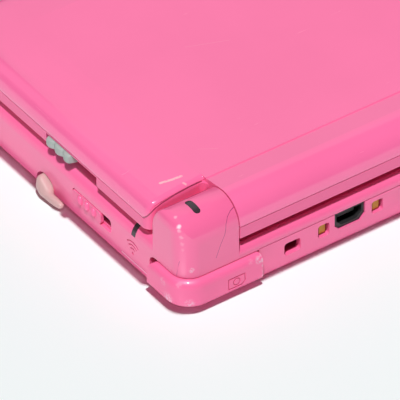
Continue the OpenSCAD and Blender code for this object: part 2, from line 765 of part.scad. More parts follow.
// Shaft with a collar, from its seat in the knuckle into the barrel
module hinge_shaft() {
    hinge_rod([side_x - 3 - shaft_l, side_x - 3], shaft_r);
    hinge_rod([knuckle_x - 0.25, knuckle_x], shaft_r + 0.9);
}

module hinge_clutch() color([0.62, 0.63, 0.65]) hinge_shaft();

module hinge_pivot_left() color([0.62, 0.63, 0.65]) {
    difference() {
        mirror([1, 0, 0]) hinge_shaft();
        hinge_rod([-side_x, 0], shaft_r - 0.9);
    }
}

module shoulder_button_pins() color([0.65, 0.65, 0.67]) {
    both_sides() translate([shoulder_pin_x, shoulder_pin_y, 0.5])
        cylinder(h = back_seam_z - 0.5, r = shoulder_pin_r);
}

// Close-wound return springs, each in a pocket of the post behind its button
module shoulder_springs() color([0.65, 0.65, 0.67]) {
    both_sides() translate([shoulder_spring_x, shoulder_spring_y, 0]) rotate_extrude()
        for (turn = [0:5])
            translate([shoulder_spring_r, shoulder_spring_z + 0.5 * turn]) circle(shoulder_wire_r);
}

module stylus_tube() color([0.75, 0.32, 0.5]) {
    from_x = side_x - stylus_l - 1;
    difference() {
        translate([from_x - 1, stylus_y, stylus_z]) rotate([0, 90, 0])
            cylinder(h = side_x - 4 - from_x, r = stylus_tube_r);
        translate([from_x, stylus_y, stylus_z]) rotate([0, 90, 0]) cylinder(h = stylus_l, r = stylus_bore_r);
    }
}

module circle_pad_base() color([0.25, 0.25, 0.27]) {
    translate([-control_x, upper_control_y, 0]) difference() {
        translate([0, 0, floor_t]) cylinder(h = 8.8 - floor_t, r = pad_well_r);
        translate([0, 0, 5.2]) cylinder(h = 10, r = pad_well_r - 0.8);
    }
}

module circle_pad_carriage() color([0.35, 0.35, 0.37]) {
    translate([-control_x, upper_control_y, 5.5]) difference() {
        plate(2 * (pad_skirt_r - 3), 2 * (pad_skirt_r - 5), 1.2, 1);
        translate([-3.5, -5.6, 0.6]) cube([7, 11.2, 1]);
    }
}

module circle_pad() color([0.35, 0.35, 0.38]) {
    translate([-control_x, upper_control_y, 0]) {
        difference() {
            translate([0, 0, pad_top_z - 1.9]) {
                cylinder(h = 1.3, r = pad_r);
                cylinder(h = 1.9, r = pad_r - 0.6);
                translate([0, 0, 1.3]) rotate_extrude() translate([pad_r - 0.6, 0]) circle(0.6);
            }
            translate([0, 0, pad_top_z + 21.4]) sphere(r = 22);
        }
        translate([0, 0, pad_stem_z]) cylinder(h = pad_top_z - 1.25 - pad_stem_z, r = 3);
        translate([0, 0, flange_z - flange_t]) cylinder(h = flange_t, r = pad_skirt_r);
        translate([0, 0, flange_z - flange_t - 1]) cylinder(h = 1, r = 6);
    }
}

module d_pad_pivot() color([0.3, 0.3, 0.32]) {
    translate([-control_x, lower_control_y, 0]) {
        translate([0, 0, floor_t + 0.3]) cylinder(h = pivot_z - floor_t - 0.3, r = 2.4);
        translate([0, 0, pivot_z]) sphere(r = 1.6);
    }
}

module d_pad() color([0.3, 0.3, 0.32]) {
    translate([-control_x, lower_control_y, 0]) difference() {
        translate([0, 0, cross_flange_z]) {
            linear_extrude(cross_top_z - cross_flange_z) cross_outline();
            cylinder(h = 0.5, r = cross_flange_r);
        }
        translate([0, 0, cross_top_z + 11.6]) sphere(r = 12);
        for (turn = [0:3]) rotate(90 * turn) translate([cross_w / 2 - 3, 0, cross_top_z - 0.2])
            cylinder(h = 1, r = 1.2, $fn = 3);
    }
}

// Round button with a flange under the deck and a hollow over its contact
module face_button(place) {
    at_face_button(place) {
        difference() {
            union() {
                translate([0, 0, flange_z - flange_t]) cylinder(h = flange_t, r = face_flange_r);
                translate([0, 0, flange_z - flange_t])
                    cylinder(h = deck_z + 0.5 - flange_z + flange_t, r = face_r);
                translate([0, 0, deck_z + 0.5]) cylinder(h = 0.4, r = face_r - 0.4);
                translate([0, 0, deck_z + 0.5]) rotate_extrude() translate([face_r - 0.4, 0]) circle(0.4);
            }
            translate([0, 0, face_hollow_z - 2]) cylinder(h = 2, r = 2.5);
        }
    }
}

module face_button_right() color([0.88, 0.88, 0.9]) face_button(0);
module face_button_top() color([0.88, 0.88, 0.9]) face_button(1);
module face_button_left() color([0.88, 0.88, 0.9]) face_button(2);
module face_button_bottom() color([0.88, 0.88, 0.9]) face_button(3);

module button_membrane() color([0.75, 0.75, 0.72]) {
    difference() {
        translate([control_x, upper_control_y, board_top_z])
            plate(2 * face_spread + 9, 2 * face_spread + 9, 0.2, 4);
        block([side_x - 7.4, side_x], [back_y - 45, back_y - 12], [0, 20]);
    }
    for (place = [0:3])
        at_face_button(place) translate([0, 0, board_top_z]) cylinder(h = dome_h, r1 = 1.7, r2 = 1);
}

// Flat key with a wider foot under the deck
module flat_key(place) {
    translate([place * key_pitch, key_y, 0]) {
        translate([0, 0, flange_z - flange_t]) plate(key_w, key_d, key_top_z - flange_z + flange_t, 1.4);
        translate([0, 0, flange_z - flange_t]) plate(key_w + 1.6, key_d + 1, flange_t, 1);
    }
}

module select_button() color([0.9, 0.55, 0.7]) flat_key(-1);
module home_button() color([0.9, 0.55, 0.7]) flat_key(0);
module start_button() color([0.9, 0.55, 0.7]) flat_key(1);

module power_button() color([0.9, 0.55, 0.7]) {
    translate([power_key_x, power_key_y, flange_z - flange_t]) {
        cylinder(h = key_top_z - flange_z + flange_t, r = power_key_r);
        cylinder(h = flange_t, r = power_key_r + 0.7);
    }
}

// Shoulder button on the right: a rounded shell that wraps the corner and turns on an upright pin
module shoulder_button() {
    low_z = shoulder_low_z;
    inner = shoulder_t - shoulder_out;
    difference() {
        intersection() {
            translate([0, 0, low_z]) soft_slab(casing_w + 2 * shoulder_out, 2 * (back_y + shoulder_out),
                shoulder_top_z - low_z, shoulder_r, 2, 0.8);
            back_plate([shoulder_inner_x, side_x + 9], [shoulder_front_y, back_y + shoulder_out],
                [low_z, shoulder_top_z], shoulder_end_r);
            shoulder_side(0, low_z, shoulder_top_z);
        }
        translate([0, 0, low_z - 1]) plate(casing_w - 2 * inner, 2 * (back_y - inner), shoulder_top_z - low_z,
            rear_corner_r - inner);
        translate([0, 0, low_z + 1]) plate(casing_w - 2 * inner, 2 * (back_y - inner), shoulder_top_z - low_z,
            rear_corner_r - inner);
        shoulder_pin_bore();
        camera_mark();
    }
    difference() {
        translate([shoulder_pin_x, shoulder_pin_y, low_z]) cylinder(h = shoulder_top_z - low_z, r = 1.9);
        shoulder_pin_bore();
    }
}

// Engraved outline of a camera, a plain box with a lens
module camera_mark() {
    translate([side_x - 12.5, back_y + shoulder_out + 1, 3.5]) rotate([90, 0, 0])
        linear_extrude(1 + mark_depth) {
            difference() {
                polygon([[2.2, -1.4], [-1.4, -1.4], [-2.2, -0.6], [-2.2, 1.4], [2.2, 1.4]]);
                polygon([[1.95, -1.15], [-1.3, -1.15], [-1.95, -0.5], [-1.95, 1.15], [1.95, 1.15]]);
            }
            difference() {
                circle(0.95);
                circle(0.7);
            }
        }
}

// Engraved waves of the wireless switch's light: a dot with three arcs over it
module wave_mark() {
    translate([side_x - mark_depth, back_y - light_d[0] - 0.9, 3.9]) rotate([90, 0, 90]) linear_extrude(1) {
        circle(0.35);
        intersection() {
            for (r = [1.2, 2.1, 3]) difference() {
                circle(r + 0.15);
                circle(r - 0.15);
            }
            polygon([[0, 0], [-4, 4.4], [4, 4.4]]);
        }
    }
}

module shoulder_pin_bore() {
    translate([shoulder_pin_x, shoulder_pin_y, 0]) cylinder(h = 12, r = shoulder_pin_r + shaft_play);
}

module right_shoulder_button() color([0.95, 0.4, 0.6]) shoulder_button();
module left_shoulder_button() color([0.95, 0.4, 0.6]) mirror([1, 0, 0]) shoulder_button();

module wireless_switch() color([0.9, 0.48, 0.65]) {
    far_y = back_y - switch_d[1] + 0.25;
    y = [far_y, far_y + switch_knob_l];
    side_plate([side_x - switch_recess + 0.1, side_x + 0.15], y, [switch_z[0] + 0.2, switch_z[1] - 0.2], 0.8);
    block([side_x - 2.4, side_x - switch_recess + 0.1], [y[0] + 1.2, y[1] - 1.2],
        [switch_z[0] + 0.9, switch_z[1] - 0.9]);
    for (dot = [0:2])
        translate([side_x - 0.15, y[0] + 2.7 + 2.5 * dot, (switch_z[0] + switch_z[1]) / 2]) sphere(r = 0.75);
}

module volume_slider() color([0.9, 0.48, 0.65]) {
    mid_y = back_y - (volume_d[0] + volume_d[1]) / 2;
    y = [mid_y - volume_knob_l / 2, mid_y + volume_knob_l / 2];
    difference() {
        mirror([1, 0, 0])
            side_plate([side_x - 0.6, side_x + 0.15], y, [volume_z[0] + 0.2, volume_z[1] - 0.2], 0.5);
        for (groove = [-1:1])
            block([-side_x - 1, -side_x],
                [mid_y + 1.5 * groove - 0.3, mid_y + 1.5 * groove + 0.3], [0, 9]);
    }
    block([0.6 - side_x, 2.1 - side_x], [y[0] + 1, y[1] - 1], [volume_z[0] + 0.9, volume_z[1] - 0.9]);
}

module stylus() color([0.92, 0.76, 0.72]) {
    tip_x = side_x - stylus_l;
    translate([tip_x + 2, stylus_y, stylus_z]) rotate([0, 90, 0]) cylinder(h = stylus_l - 3, r = stylus_r);
    translate([tip_x + 0.6, stylus_y, stylus_z]) rotate([0, 90, 0])
        cylinder(h = 1.4, r1 = 0.6, r2 = stylus_r);
    translate([tip_x + 0.6, stylus_y, stylus_z]) sphere(r = 0.6);
    hull() {
        translate([side_x - 1.6, stylus_y - 0.3, stylus_z]) rotate([0, 90, 0])
            cylinder(h = 0.6, r = 1.35, $fn = 32);
        translate([side_x + 0.9, stylus_y - 0.2, stylus_z + 0.45]) sphere(r = 1, $fn = 32);
        translate([side_x + 1.1, stylus_y - 0.1, 1.4]) sphere(r = 1.1, $fn = 32);
        translate([side_x + 1.6, stylus_y + 1.7, 1.2]) sphere(r = 1.1, $fn = 32);
        translate([side_x + 1.2, stylus_y + 3.4, 1.2]) sphere(r = 1, $fn = 32);
    }
    hull() {
        translate([side_x + 1.6, stylus_y + 1.7, 1.2]) sphere(r = 1.1, $fn = 32);
        translate([side_x + 1.4, stylus_y + 6, 1.05]) sphere(r = 1, $fn = 32);
        translate([side_x + 1.2, stylus_y + 7.5, 0.95]) sphere(r = 0.8, $fn = 32);
    }
}

module memory_card_door() color([0.93, 0.45, 0.65]) {
    y = [back_y - card_door_d[1] + 0.2, back_y - card_door_d[0] - 0.2];
    side_plate([side_x - card_door_t + 0.15, side_x], y, [card_door_z[0] + 0.2, card_door_z[1] - 0.2], 0.5);
    block([side_x - 1.8, side_x - card_door_t + 0.15], [y[0] + 2.2, y[1] - 2.2],
        [card_door_z[0] + 1.6, card_door_z[0] + 2.6]);
}

// Outer form of the lid's flat part, or of the space inside it when it is inset
module lid_form(inset = 0, drop = 0) {
    intersection() {
        translate([0, 0, lid_z]) soft_slab(casing_w - 2 * inset, -2 * (front_y + inset), lid_h - drop,
            front_corner_r - inset, lid_edge_r - inset, inset > 0 ? 0 : 0.4);
        block([-side_x, side_x], [front_y, lid_rear_y - inset], [lid_z, lid_top_z]);
        translate([0, 0, -drop]) crown(casing_w);
        translate([0, 0, -drop]) rotate(90) crown(-2 * front_y);
    }
}

// Slight crown across a width, which runs along Y
module crown(w) {
    rotate([90, 0, 0]) linear_extrude(2 * casing_w, center = true) {
        translate([crown_w - w / 2, 0]) square([w - 2 * crown_w, lid_top_z]);
        for (s = [-1, 1]) intersection() {
            translate([s * (w / 2 - crown_w), lid_top_z - crown_r]) circle(crown_r, $fn = 200);
            translate([s * (w / 2 - crown_w / 2) - crown_w, 0]) square([2 * crown_w, lid_top_z + 1]);
        }
    }
}

// Section of the barrel with its ramp up from the lid's plane
module barrel_section() {
    rise = lid_top_z - hinge_z;
    run = axis_y - barrel_crease_y;
    away = norm([run, rise]);
    touch = atan2(rise, -run) - acos(hinge_r / away);
    circle(hinge_r);
    translate([0, lid_z - hinge_z]) square([hinge_r, hinge_z - lid_z]);
    polygon([
        [lid_rear_y - axis_y - notch_edge_r - 0.2, rise], [-run, rise], [hinge_r * cos(touch), hinge_r * sin(touch)],
        [0, 0], [0, lid_z - hinge_z], [lid_rear_y - axis_y - notch_edge_r - 0.2, lid_z - hinge_z]
    ]);
}

module barrel() {
    translate([-barrel_x, axis_y, hinge_z]) rotate([90, 0, 90]) linear_extrude(2 * barrel_x) barrel_section();
}

// What is cut from the lid's rear edge, outside an X, to round it where the lid's top curves down with a radius
module rear_edge_cut(from_x, from_z, r) {
    y = [lid_rear_y - notch_edge_r, lid_rear_y];
    difference() {
        block([from_x, side_x + 1], [y[0], y[1] + 1], [from_z, lid_top_z + 1]);
        translate([from_x, y[0] - 1, lid_top_z - r]) rotate([-90, 0, 0]) rotate_extrude() {
            square([r, 1]);
            square([r - notch_edge_r, 1 + notch_edge_r]);
            translate([r - notch_edge_r, 1]) intersection() {
                circle(notch_edge_r);
                square(notch_edge_r);
            }
        }
    }
}

// Flat part of the lid with its rear edge rounded over the knuckles
module lid_flat() {
    difference() {
        intersection() {
            lid_form();
            translate([0, lid_mid_y, lid_z]) soft_slab(casing_w, lid_rear_y - front_y, lid_h,
                notch_corner_r, notch_edge_r, 0.4);
        }
        both_sides() rear_edge_cut(side_x - crown_w, lid_z, crown_r);
        both_sides() rear_edge_cut(side_x - lid_edge_r, lid_top_z - lid_edge_r, lid_edge_r);
    }
}

// Fillets between the wall over the knuckles and the barrel's ends
module notch_fillets() {
    both_sides() difference() {
        block([barrel_x, barrel_x + notch_fillet_r], [lid_rear_y - 0.3, lid_rear_y + notch_fillet_r],
            [lid_seam_z - 0.5, lid_top_z - notch_lip - 0.1]);
        translate([barrel_x + notch_fillet_r, lid_rear_y + notch_fillet_r, lid_z - 1])
            cylinder(h = lid_h + 2, r = notch_fillet_r);
        hinge_rod([barrel_x - 1, side_x], hinge_r + 0.45);
    }
}

module whole_lid() {
    difference() {
        union() {
            lid_flat();
            barrel();
        }
        hinge_rod([-side_x, side_x], shaft_bore_r);
        both_sides() hinge_rod([barrel_x - 0.4, side_x], shaft_r + 1.2);
    }
}

// What lies under a lip of the cover, so far below the lid's top and so deep from the wall over the knuckles
module under_lip(lip, depth) {
    intersection() {
        translate([0, 0, -lip]) lid_form();
        both_sides() block([barrel_x, side_x + 1], [lid_rear_y - depth, axis_y], [lid_seam_z, lid_top_z]);
    }
}

// Groove round the lid where its cover meets the inner shell
module lid_seam() {
    z = [lid_seam_z, lid_seam_z + seam_w];
    difference() {
        block([-side_x - 1, side_x + 1], [front_y - 1, lid_rear_y - lid_wall_t], z);
        lid_form(seam_depth);
    }
    block([-barrel_x - 1, barrel_x + 1], [back_y - seam_depth, back_y + 1], z);
}

module lid_cover() color([0.96, 0.46, 0.68]) {
    difference() {
        intersection() {
            whole_lid();
            block([-side_x, side_x], [front_y, back_y + 1], [lid_seam_z, 2 * lid_top_z]);
        }
        difference() {
            lid_form(lid_wall_t, lid_wall_t);
            for (p = bumper_places) translate([p[0], p[1], lid_seam_z]) cylinder(h = lid_h, r = boss_r);
        }
        for (p = bumper_places) translate([p[0], p[1], lid_z]) cylinder(h = 5.4, r = screw_r);
        for (s = [-1, 1]) translate([s * camera_pitch / 2, camera_y, lid_seam_z]) {
            cylinder(h = lid_h, r = camera_r - 0.6);
            translate([0, 0, camera_glass_z - lid_seam_z]) cylinder(h = 2, r = camera_r + 0.1);
        }
        crease_groove();
        lid_seam();
        under_lip(notch_lip - 0.02, lid_wall_t + 0.02);
        under_lip(notch_lip - seam_w, seam_depth + 0.2);
    }
}

// Fine groove where the lid's plane meets the barrel
module crease_groove() {
    translate([-side_x, barrel_crease_y, lid_top_z]) rotate([90, 0, 90]) linear_extrude(casing_w)
        polygon([[-0.3, 0.1], [0, -0.3], [0.35, 0.1]]);
}

module lid_inner_shell() color([0.93, 0.44, 0.64]) {
    intersection() {
        lid_flat();
        under_lip(notch_lip, lid_wall_t);
    }
    notch_fillets();
    difference() {
        intersection() {
            whole_lid();
            block([-side_x, side_x], [front_y, back_y + 1], [lid_z, lid_seam_z]);
        }
        intersection() {
            lid_form(lid_wall_t, lid_wall_t);
            block([-side_x, side_x], [front_y, lid_rear_y], [lid_face_top_z, lid_top_z]);
        }
        translate([0, top_screen_y, window_z - 1]) plate(window_w + 0.2, window_d + 0.2, 1 + window_t, 3);
        translate([0, top_screen_y, lid_z - 1]) plate(top_screen_w + 3, top_screen_d + 3, 5, 1);
        for (p = bumper_places) {
            translate([p[0], p[1], lid_z - 1]) cylinder(h = 1.5, r = bumper_r + 0.05);
            translate([p[0], p[1], lid_z - 1]) cylinder(h = 8, r = screw_r + 0.1);
        }
        both_sides() for (row = [-2:2], line = [0:1])
            translate([speaker_x - 1.2 + 2.4 * line, lid_mid_y + 3 * row, lid_z - 1])
                cylinder(h = 5, r = 0.6);
        translate([0, inner_camera_y, lid_z - 1]) cylinder(h = 5, r = inner_camera_r + 0.05);
        block([side_x - lid_wall_t - 1, side_x + 1],
            [back_y - depth_window_d[1], back_y - depth_window_d[0]], depth_window_z);
    }
}

module top_screen() color([0.1, 0.1, 0.12]) {
    translate([0, top_screen_y, window_z + window_t]) {
        plate(top_screen_w + 2.6, top_screen_d + 2.6, 3.2, 0.8);
        translate([0, 0, 0.5]) plate(top_screen_w, top_screen_d, 3.4, 2);
    }
}

module screen_window() color([0.04, 0.04, 0.05]) {
    translate([0, top_screen_y, window_z]) plate(window_w, window_d, window_t, 2.9);
}

module camera_windows() color([0.05, 0.05, 0.06]) {
    for (s = [-1, 1]) translate([s * camera_pitch / 2, camera_y, camera_glass_z]) difference() {
        cylinder(h = 0.6, r = camera_r);
        translate([0, 0, 0.45]) cylinder(h = 1, r = camera_r - 1.2);
    }
}

module camera_modules() color([0.2, 0.2, 0.22]) {
    for (s = [-1, 1]) translate([s * camera_pitch / 2, camera_y, top_screen_top_z]) {
        plate(6.4, 6.4, lid_plate_under_z - 0.8 - top_screen_top_z, 0.6);
        cylinder(h = camera_glass_z - 0.05 - top_screen_top_z, r = 2.6);
    }
}

module inner_camera() color([0.1, 0.1, 0.12]) {
    translate([0, inner_camera_y, lid_z + 0.15]) cylinder(h = 2, r = inner_camera_r);
    translate([0, inner_camera_y, lid_face_top_z]) plate(4.2, 3.6, 2.2, 0.5);
}

module speakers() color([0.3, 0.3, 0.32]) {
    both_sides() translate([speaker_x - 0.8, lid_mid_y, lid_face_top_z]) difference() {
        plate(7.6, 17, 3, 1.2);
        translate([0, 0, -1]) plate(5.4, 14, 1.8, 1);
    }
}

module lid_bumpers() color([0.85, 0.4, 0.6]) {
    for (p = bumper_places) translate([p[0], p[1], lid_z - 1]) difference() {
        cylinder(h = 1.2, r = bumper_r);
        translate([0, 0, -0.1]) cylinder(h = 0.3, r = bumper_r - 0.8);
    }
}

module lid_screws() color([0.6, 0.6, 0.62]) {
    for (p = bumper_places) translate([p[0], p[1], 0]) {
        translate([0, 0, lid_z + 0.2]) cylinder(h = 0.3, r = screw_head_r);
        translate([0, 0, lid_z + 0.2]) cylinder(h = 5, r = screw_r);
    }
}

// Flat cable, rolled in the left end of the barrel and laid over the back of the screen
module display_ribbon() color([0.75, 0.5, 0.2]) {
    from_x = -(side_x - 3 - shaft_l) + 2;
    difference() {
        hinge_rod([from_x, from_x + 14], shaft_r - 0.2);
        hinge_rod([from_x - 1, from_x + 15], shaft_r - 0.7);
    }
}

module depth_slider() color([0.72, 0.8, 0.74]) {
    far_y = back_y - depth_window_d[1] + 0.2;
    y = [far_y, far_y + depth_knob_l];
    z = [depth_window_z[0] + 0.2, depth_window_z[1] - 0.15];
    block([side_x - lid_wall_t - 0.6, side_x], y, z);
    intersection() {
        block([side_x - 1, side_x + 2], y, z);
        for (ridge = [0:2])
            translate([side_x - 0.7, far_y + depth_knob_l * (ridge + 0.5) / 3, z[0]])
                cylinder(h = z[1] - z[0], r = 1.9);
    }
    block([side_x - lid_wall_t - 1.6, side_x - lid_wall_t - 0.6], [far_y - 0.8, far_y + depth_knob_l + 0.8],
        [lid_face_top_z + 0.1, lid_face_top_z + 2.4]);
}

base_upper_shell();
base_lower_shell();
battery_cover();
battery_cover_screws();
case_screws();
battery();
main_board();
touch_screen();
game_card_socket();
memory_card_socket();
power_socket();
charge_contacts();
headphone_jack();
infrared_window();
notification_light();
wireless_light();
status_lights();
hinge_clutch();
hinge_pivot_left();
shoulder_button_pins();
shoulder_springs();
stylus_tube();
circle_pad_base();
button_membrane();
circle_pad_carriage();
circle_pad();
d_pad_pivot();
d_pad();
face_button_right();
face_button_bottom();
face_button_top();
face_button_left();
select_button();
home_button();
start_button();
power_button();
right_shoulder_button();
left_shoulder_button();
wireless_switch();
volume_slider();
stylus();
memory_card_door();
lid_cover();
lid_inner_shell();
top_screen();
screen_window();
camera_windows();
camera_modules();
inner_camera();
speakers();
lid_bumpers();
lid_screws();
display_ribbon();
depth_slider();
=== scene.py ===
"""Looks of a clamshell handheld console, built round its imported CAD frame.

The frame is in metres. Places and sizes written here are in millimetres, unless a comment says otherwise.
"""
import math

import bmesh
import bpy
from mathutils import Matrix, Vector


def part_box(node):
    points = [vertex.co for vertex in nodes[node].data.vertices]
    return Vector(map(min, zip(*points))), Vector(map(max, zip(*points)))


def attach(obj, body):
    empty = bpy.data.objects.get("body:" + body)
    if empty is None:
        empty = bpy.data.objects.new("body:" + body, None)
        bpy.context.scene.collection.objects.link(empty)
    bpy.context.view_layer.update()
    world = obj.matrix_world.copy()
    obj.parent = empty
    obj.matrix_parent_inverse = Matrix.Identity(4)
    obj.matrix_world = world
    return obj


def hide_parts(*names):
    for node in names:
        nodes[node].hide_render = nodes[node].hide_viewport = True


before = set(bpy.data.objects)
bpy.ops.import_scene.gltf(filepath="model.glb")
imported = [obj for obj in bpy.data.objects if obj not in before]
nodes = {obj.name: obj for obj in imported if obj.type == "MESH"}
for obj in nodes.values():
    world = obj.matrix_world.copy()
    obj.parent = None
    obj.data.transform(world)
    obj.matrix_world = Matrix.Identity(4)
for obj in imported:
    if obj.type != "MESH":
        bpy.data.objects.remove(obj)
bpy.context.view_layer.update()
MM = 0.001


def corners(name):
    """Lowest and highest corners of a node at rest, in millimetres."""
    low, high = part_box(name)
    return Vector(low) / MM, Vector(high) / MM


# Planes of the case, and where its seams run
KNUCKLE_WIDTH = 14.1
KNUCKLE_BEFORE_LIGHT = 4.2
BACK_SEAM = 7.9
SEAM_WIDTH = 0.2
right_wall = corners("base_upper_shell")[1].x
back_wall = corners("base_upper_shell")[1].y
knuckle_inner = right_wall - KNUCKLE_WIDTH
knuckle_front = corners("notification_light")[0].y - KNUCKLE_BEFORE_LIGHT
shoulder_inner = corners("right_shoulder_button")[0].x
lid_seam = corners("lid_cover")[0].z


# ---------------------------------------------------------------- shader tools
def masked(place, keep):
    """The place with each axis set to zero where keep is 0."""
    return Vector([a * b for a, b in zip(place, keep)])


class Value:
    """A shader socket on which Python arithmetic adds Math nodes."""

    def __init__(self, finish, socket):
        self.finish = finish
        self.socket = socket

    def maths(self, operation, *others):
        """Adds a Math node whose first input is this value."""
        return self.finish.node("Math", {"operation": operation}, dict(enumerate((self, *others))))

    def __add__(self, other):
        return self.maths("ADD", other)

    def __sub__(self, other):
        return self.maths("SUBTRACT", other)

    def __rsub__(self, other):
        return self.finish.node("Math", {"operation": "SUBTRACT"}, {0: other, 1: self})

    def __mul__(self, other):
        return self.maths("MULTIPLY", other)

    def __truediv__(self, other):
        return self.maths("DIVIDE", other)

    def at_most(self, other):
        return self.maths("MINIMUM", other)

    def at_least(self, other):
        return self.maths("MAXIMUM", other)

    def size(self):
        return self.maths("ABSOLUTE")

    def step(self, low, high):
        """0 below low and 1 above high, with a smooth change between. low may be the larger."""
        settings = {"interpolation_type": "SMOOTHSTEP", "clamp": True}
        return self.finish.node("MapRange", settings, {0: self, 1: low, 2: high, 3: 0.0, 4: 1.0})


def strongest(masks):
    """The highest of several masks at each point."""
    whole, *others = masks
    for mask in others:
        whole = whole.at_least(mask)
    return whole


class Finish:
    """A material, with the few patterns that this object's finishes are made of."""

    def __init__(self, name):
        self.material = bpy.data.materials.new(name)
        self.material.use_nodes = True
        self.tree = self.material.node_tree
        self.shader = self.tree.nodes["Principled BSDF"]
        place = self.node("TexCoord", out="Object")
        self.place = self.vector("SCALE", {0: place, "Scale": 1 / MM})
        axes = self.node("SeparateXYZ", {}, {0: self.place}).socket.node.outputs
        self.x, self.y, self.z = (Value(self, axis) for axis in axes)

    def fill(self, socket, value):
        """Joins a value to a socket, or writes a plain number, vector or colour on it."""
        if isinstance(value, Value):
            self.tree.links.new(value.socket, socket)
        elif socket.type == "RGBA" and len(value) == 3:
            socket.default_value = (*value, 1.0)
        else:
            socket.default_value = value

    def node(self, kind, settings=None, values=None, out=0):
        """Makes any node, with its settings and its inputs, and gives one of its outputs."""
        made = self.tree.nodes.new("ShaderNode" + kind)
        for name, value in (settings or {}).items():
            setattr(made, name, value)
        for key, value in (values or {}).items():
            self.fill(made.inputs[key], value)
        return Value(self, made.outputs[out])

    def vector(self, operation, values, out=0):
        """Adds a Vector Math node. out is "Value" where its answer is a number."""
        return self.node("VectorMath", {"operation": operation}, values, out)

    def mix(self, part, first, second):
        """first where part is 0 and second where it is 1, as colours."""
        return self.node("Mix", {"data_type": "RGBA"}, {0: part, 6: first, 7: second}, out=2)

    def noise(self, per_mm, detail, rough=0.5, stretch=(1.0, 1.0, 1.0)):
        """Smooth noise, about per_mm blobs to the millimetre. Below 1, stretch draws them out."""
        where = self.vector("MULTIPLY", {0: self.place, 1: stretch})
        values = {0: where, "Scale": per_mm, "Detail": detail, "Roughness": rough}
        return self.node("TexNoise", {}, values)

    def cells(self, per_mm):
        """Distance to the nearest of scattered points."""
        return self.node("TexVoronoi", {}, {0: self.place, "Scale": per_mm}, "Distance")

    def distance(self, place):
        """How far each point is from a place."""
        return self.vector("DISTANCE", {0: self.place, 1: place}, out="Value")

    def stroke(self, start, end, radius, soft, keep):
        """1 within radius of the line from start to end. keep is 0 along an axis to ignore."""
        start, end = masked(start, keep), masked(end, keep)
        along = end - start
        place = self.vector("MULTIPLY", {0: self.place, 1: keep})
        away = self.vector("SUBTRACT", {0: place, 1: start})
        share = self.vector("DOT_PRODUCT", {0: away, 1: along}, out="Value") / along.length_squared
        share = share.at_least(0.0).at_most(1.0)
        nearest = self.vector("SCALE", {0: tuple(along), "Scale": share})
        gap = self.vector("DISTANCE", {0: away, 1: nearest}, out="Value")
        return gap.step(radius * (1 + soft), radius * (1 - soft))

    def strokes(self, path, radius, soft, keep=(1, 1, 1)):
        """A stroke through each pair of neighbouring points of a path."""
        return strongest(self.stroke(start, end, radius, soft, keep) for start, end in zip(path, path[1:]))

    def ring(self, centre, radius, half, keep):
        """1 on a circle drawn on the plane that keep leaves."""
        place = self.vector("MULTIPLY", {0: self.place, 1: keep})
        middle = masked(centre, keep)
        gap = (self.vector("DISTANCE", {0: place, 1: middle}, out="Value") - radius).size()
        return gap.step(half * 1.5, half * 0.5)

    def inside(self, axis, low, high, soft=0.02):
        """1 between low and high along an axis."""
        return axis.step(low - soft, low + soft) * axis.step(high + soft, high - soft)

    def bump(self, height, depth):
        """Normal for a relief, where a height of 1 stands for depth."""
        return self.node("Bump", {}, {"Strength": 1.0, "Distance": depth * MM, "Height": height})

    def set(self, **sockets):
        """Fills sockets of the material's shader, and gives the material."""
        for name, value in sockets.items():
            self.fill(self.shader.inputs[name.replace("_", " ")], value)
        return self.material


# -------------------------------------------------------------------- finishes
def rgb(red, green, blue):
    """Linear colour from the usual 0 to 255 values."""
    parts = (c / 255 for c in (red, green, blue))
    return tuple(c / 12.92 if c <= 0.04045 else ((c + 0.055) / 1.055) ** 2.4 for c in parts)


PALE_RUB_AND_HIGHLIGHT = rgb(244, 206, 224)
DUST = rgb(240, 216, 226)
CRACK = rgb(150, 46, 96)
GLINT = rgb(255, 226, 240)
PAINTED_GAP_SHADE = rgb(206, 44, 96)
PAINTED_ENGRAVING_SHADE = rgb(214, 58, 112)
SEAM_SHADE = rgb(112, 14, 44)
BARE_PLASTIC = rgb(252, 190, 198)
HOT_PINK = rgb(252, 110, 163)
BRIGHT_LACQUER = rgb(58, 124, 78)
TINNED = rgb(196, 190, 170)
COPPER = rgb(206, 132, 74)
WRAPPER = rgb(186, 188, 192)

# Axes kept by a mark drawn on the top, on the back and on the right side
ACROSS_TOP, ACROSS_BACK, ACROSS_SIDE = (1, 1, 0), (1, 0, 1), (0, 1, 1)


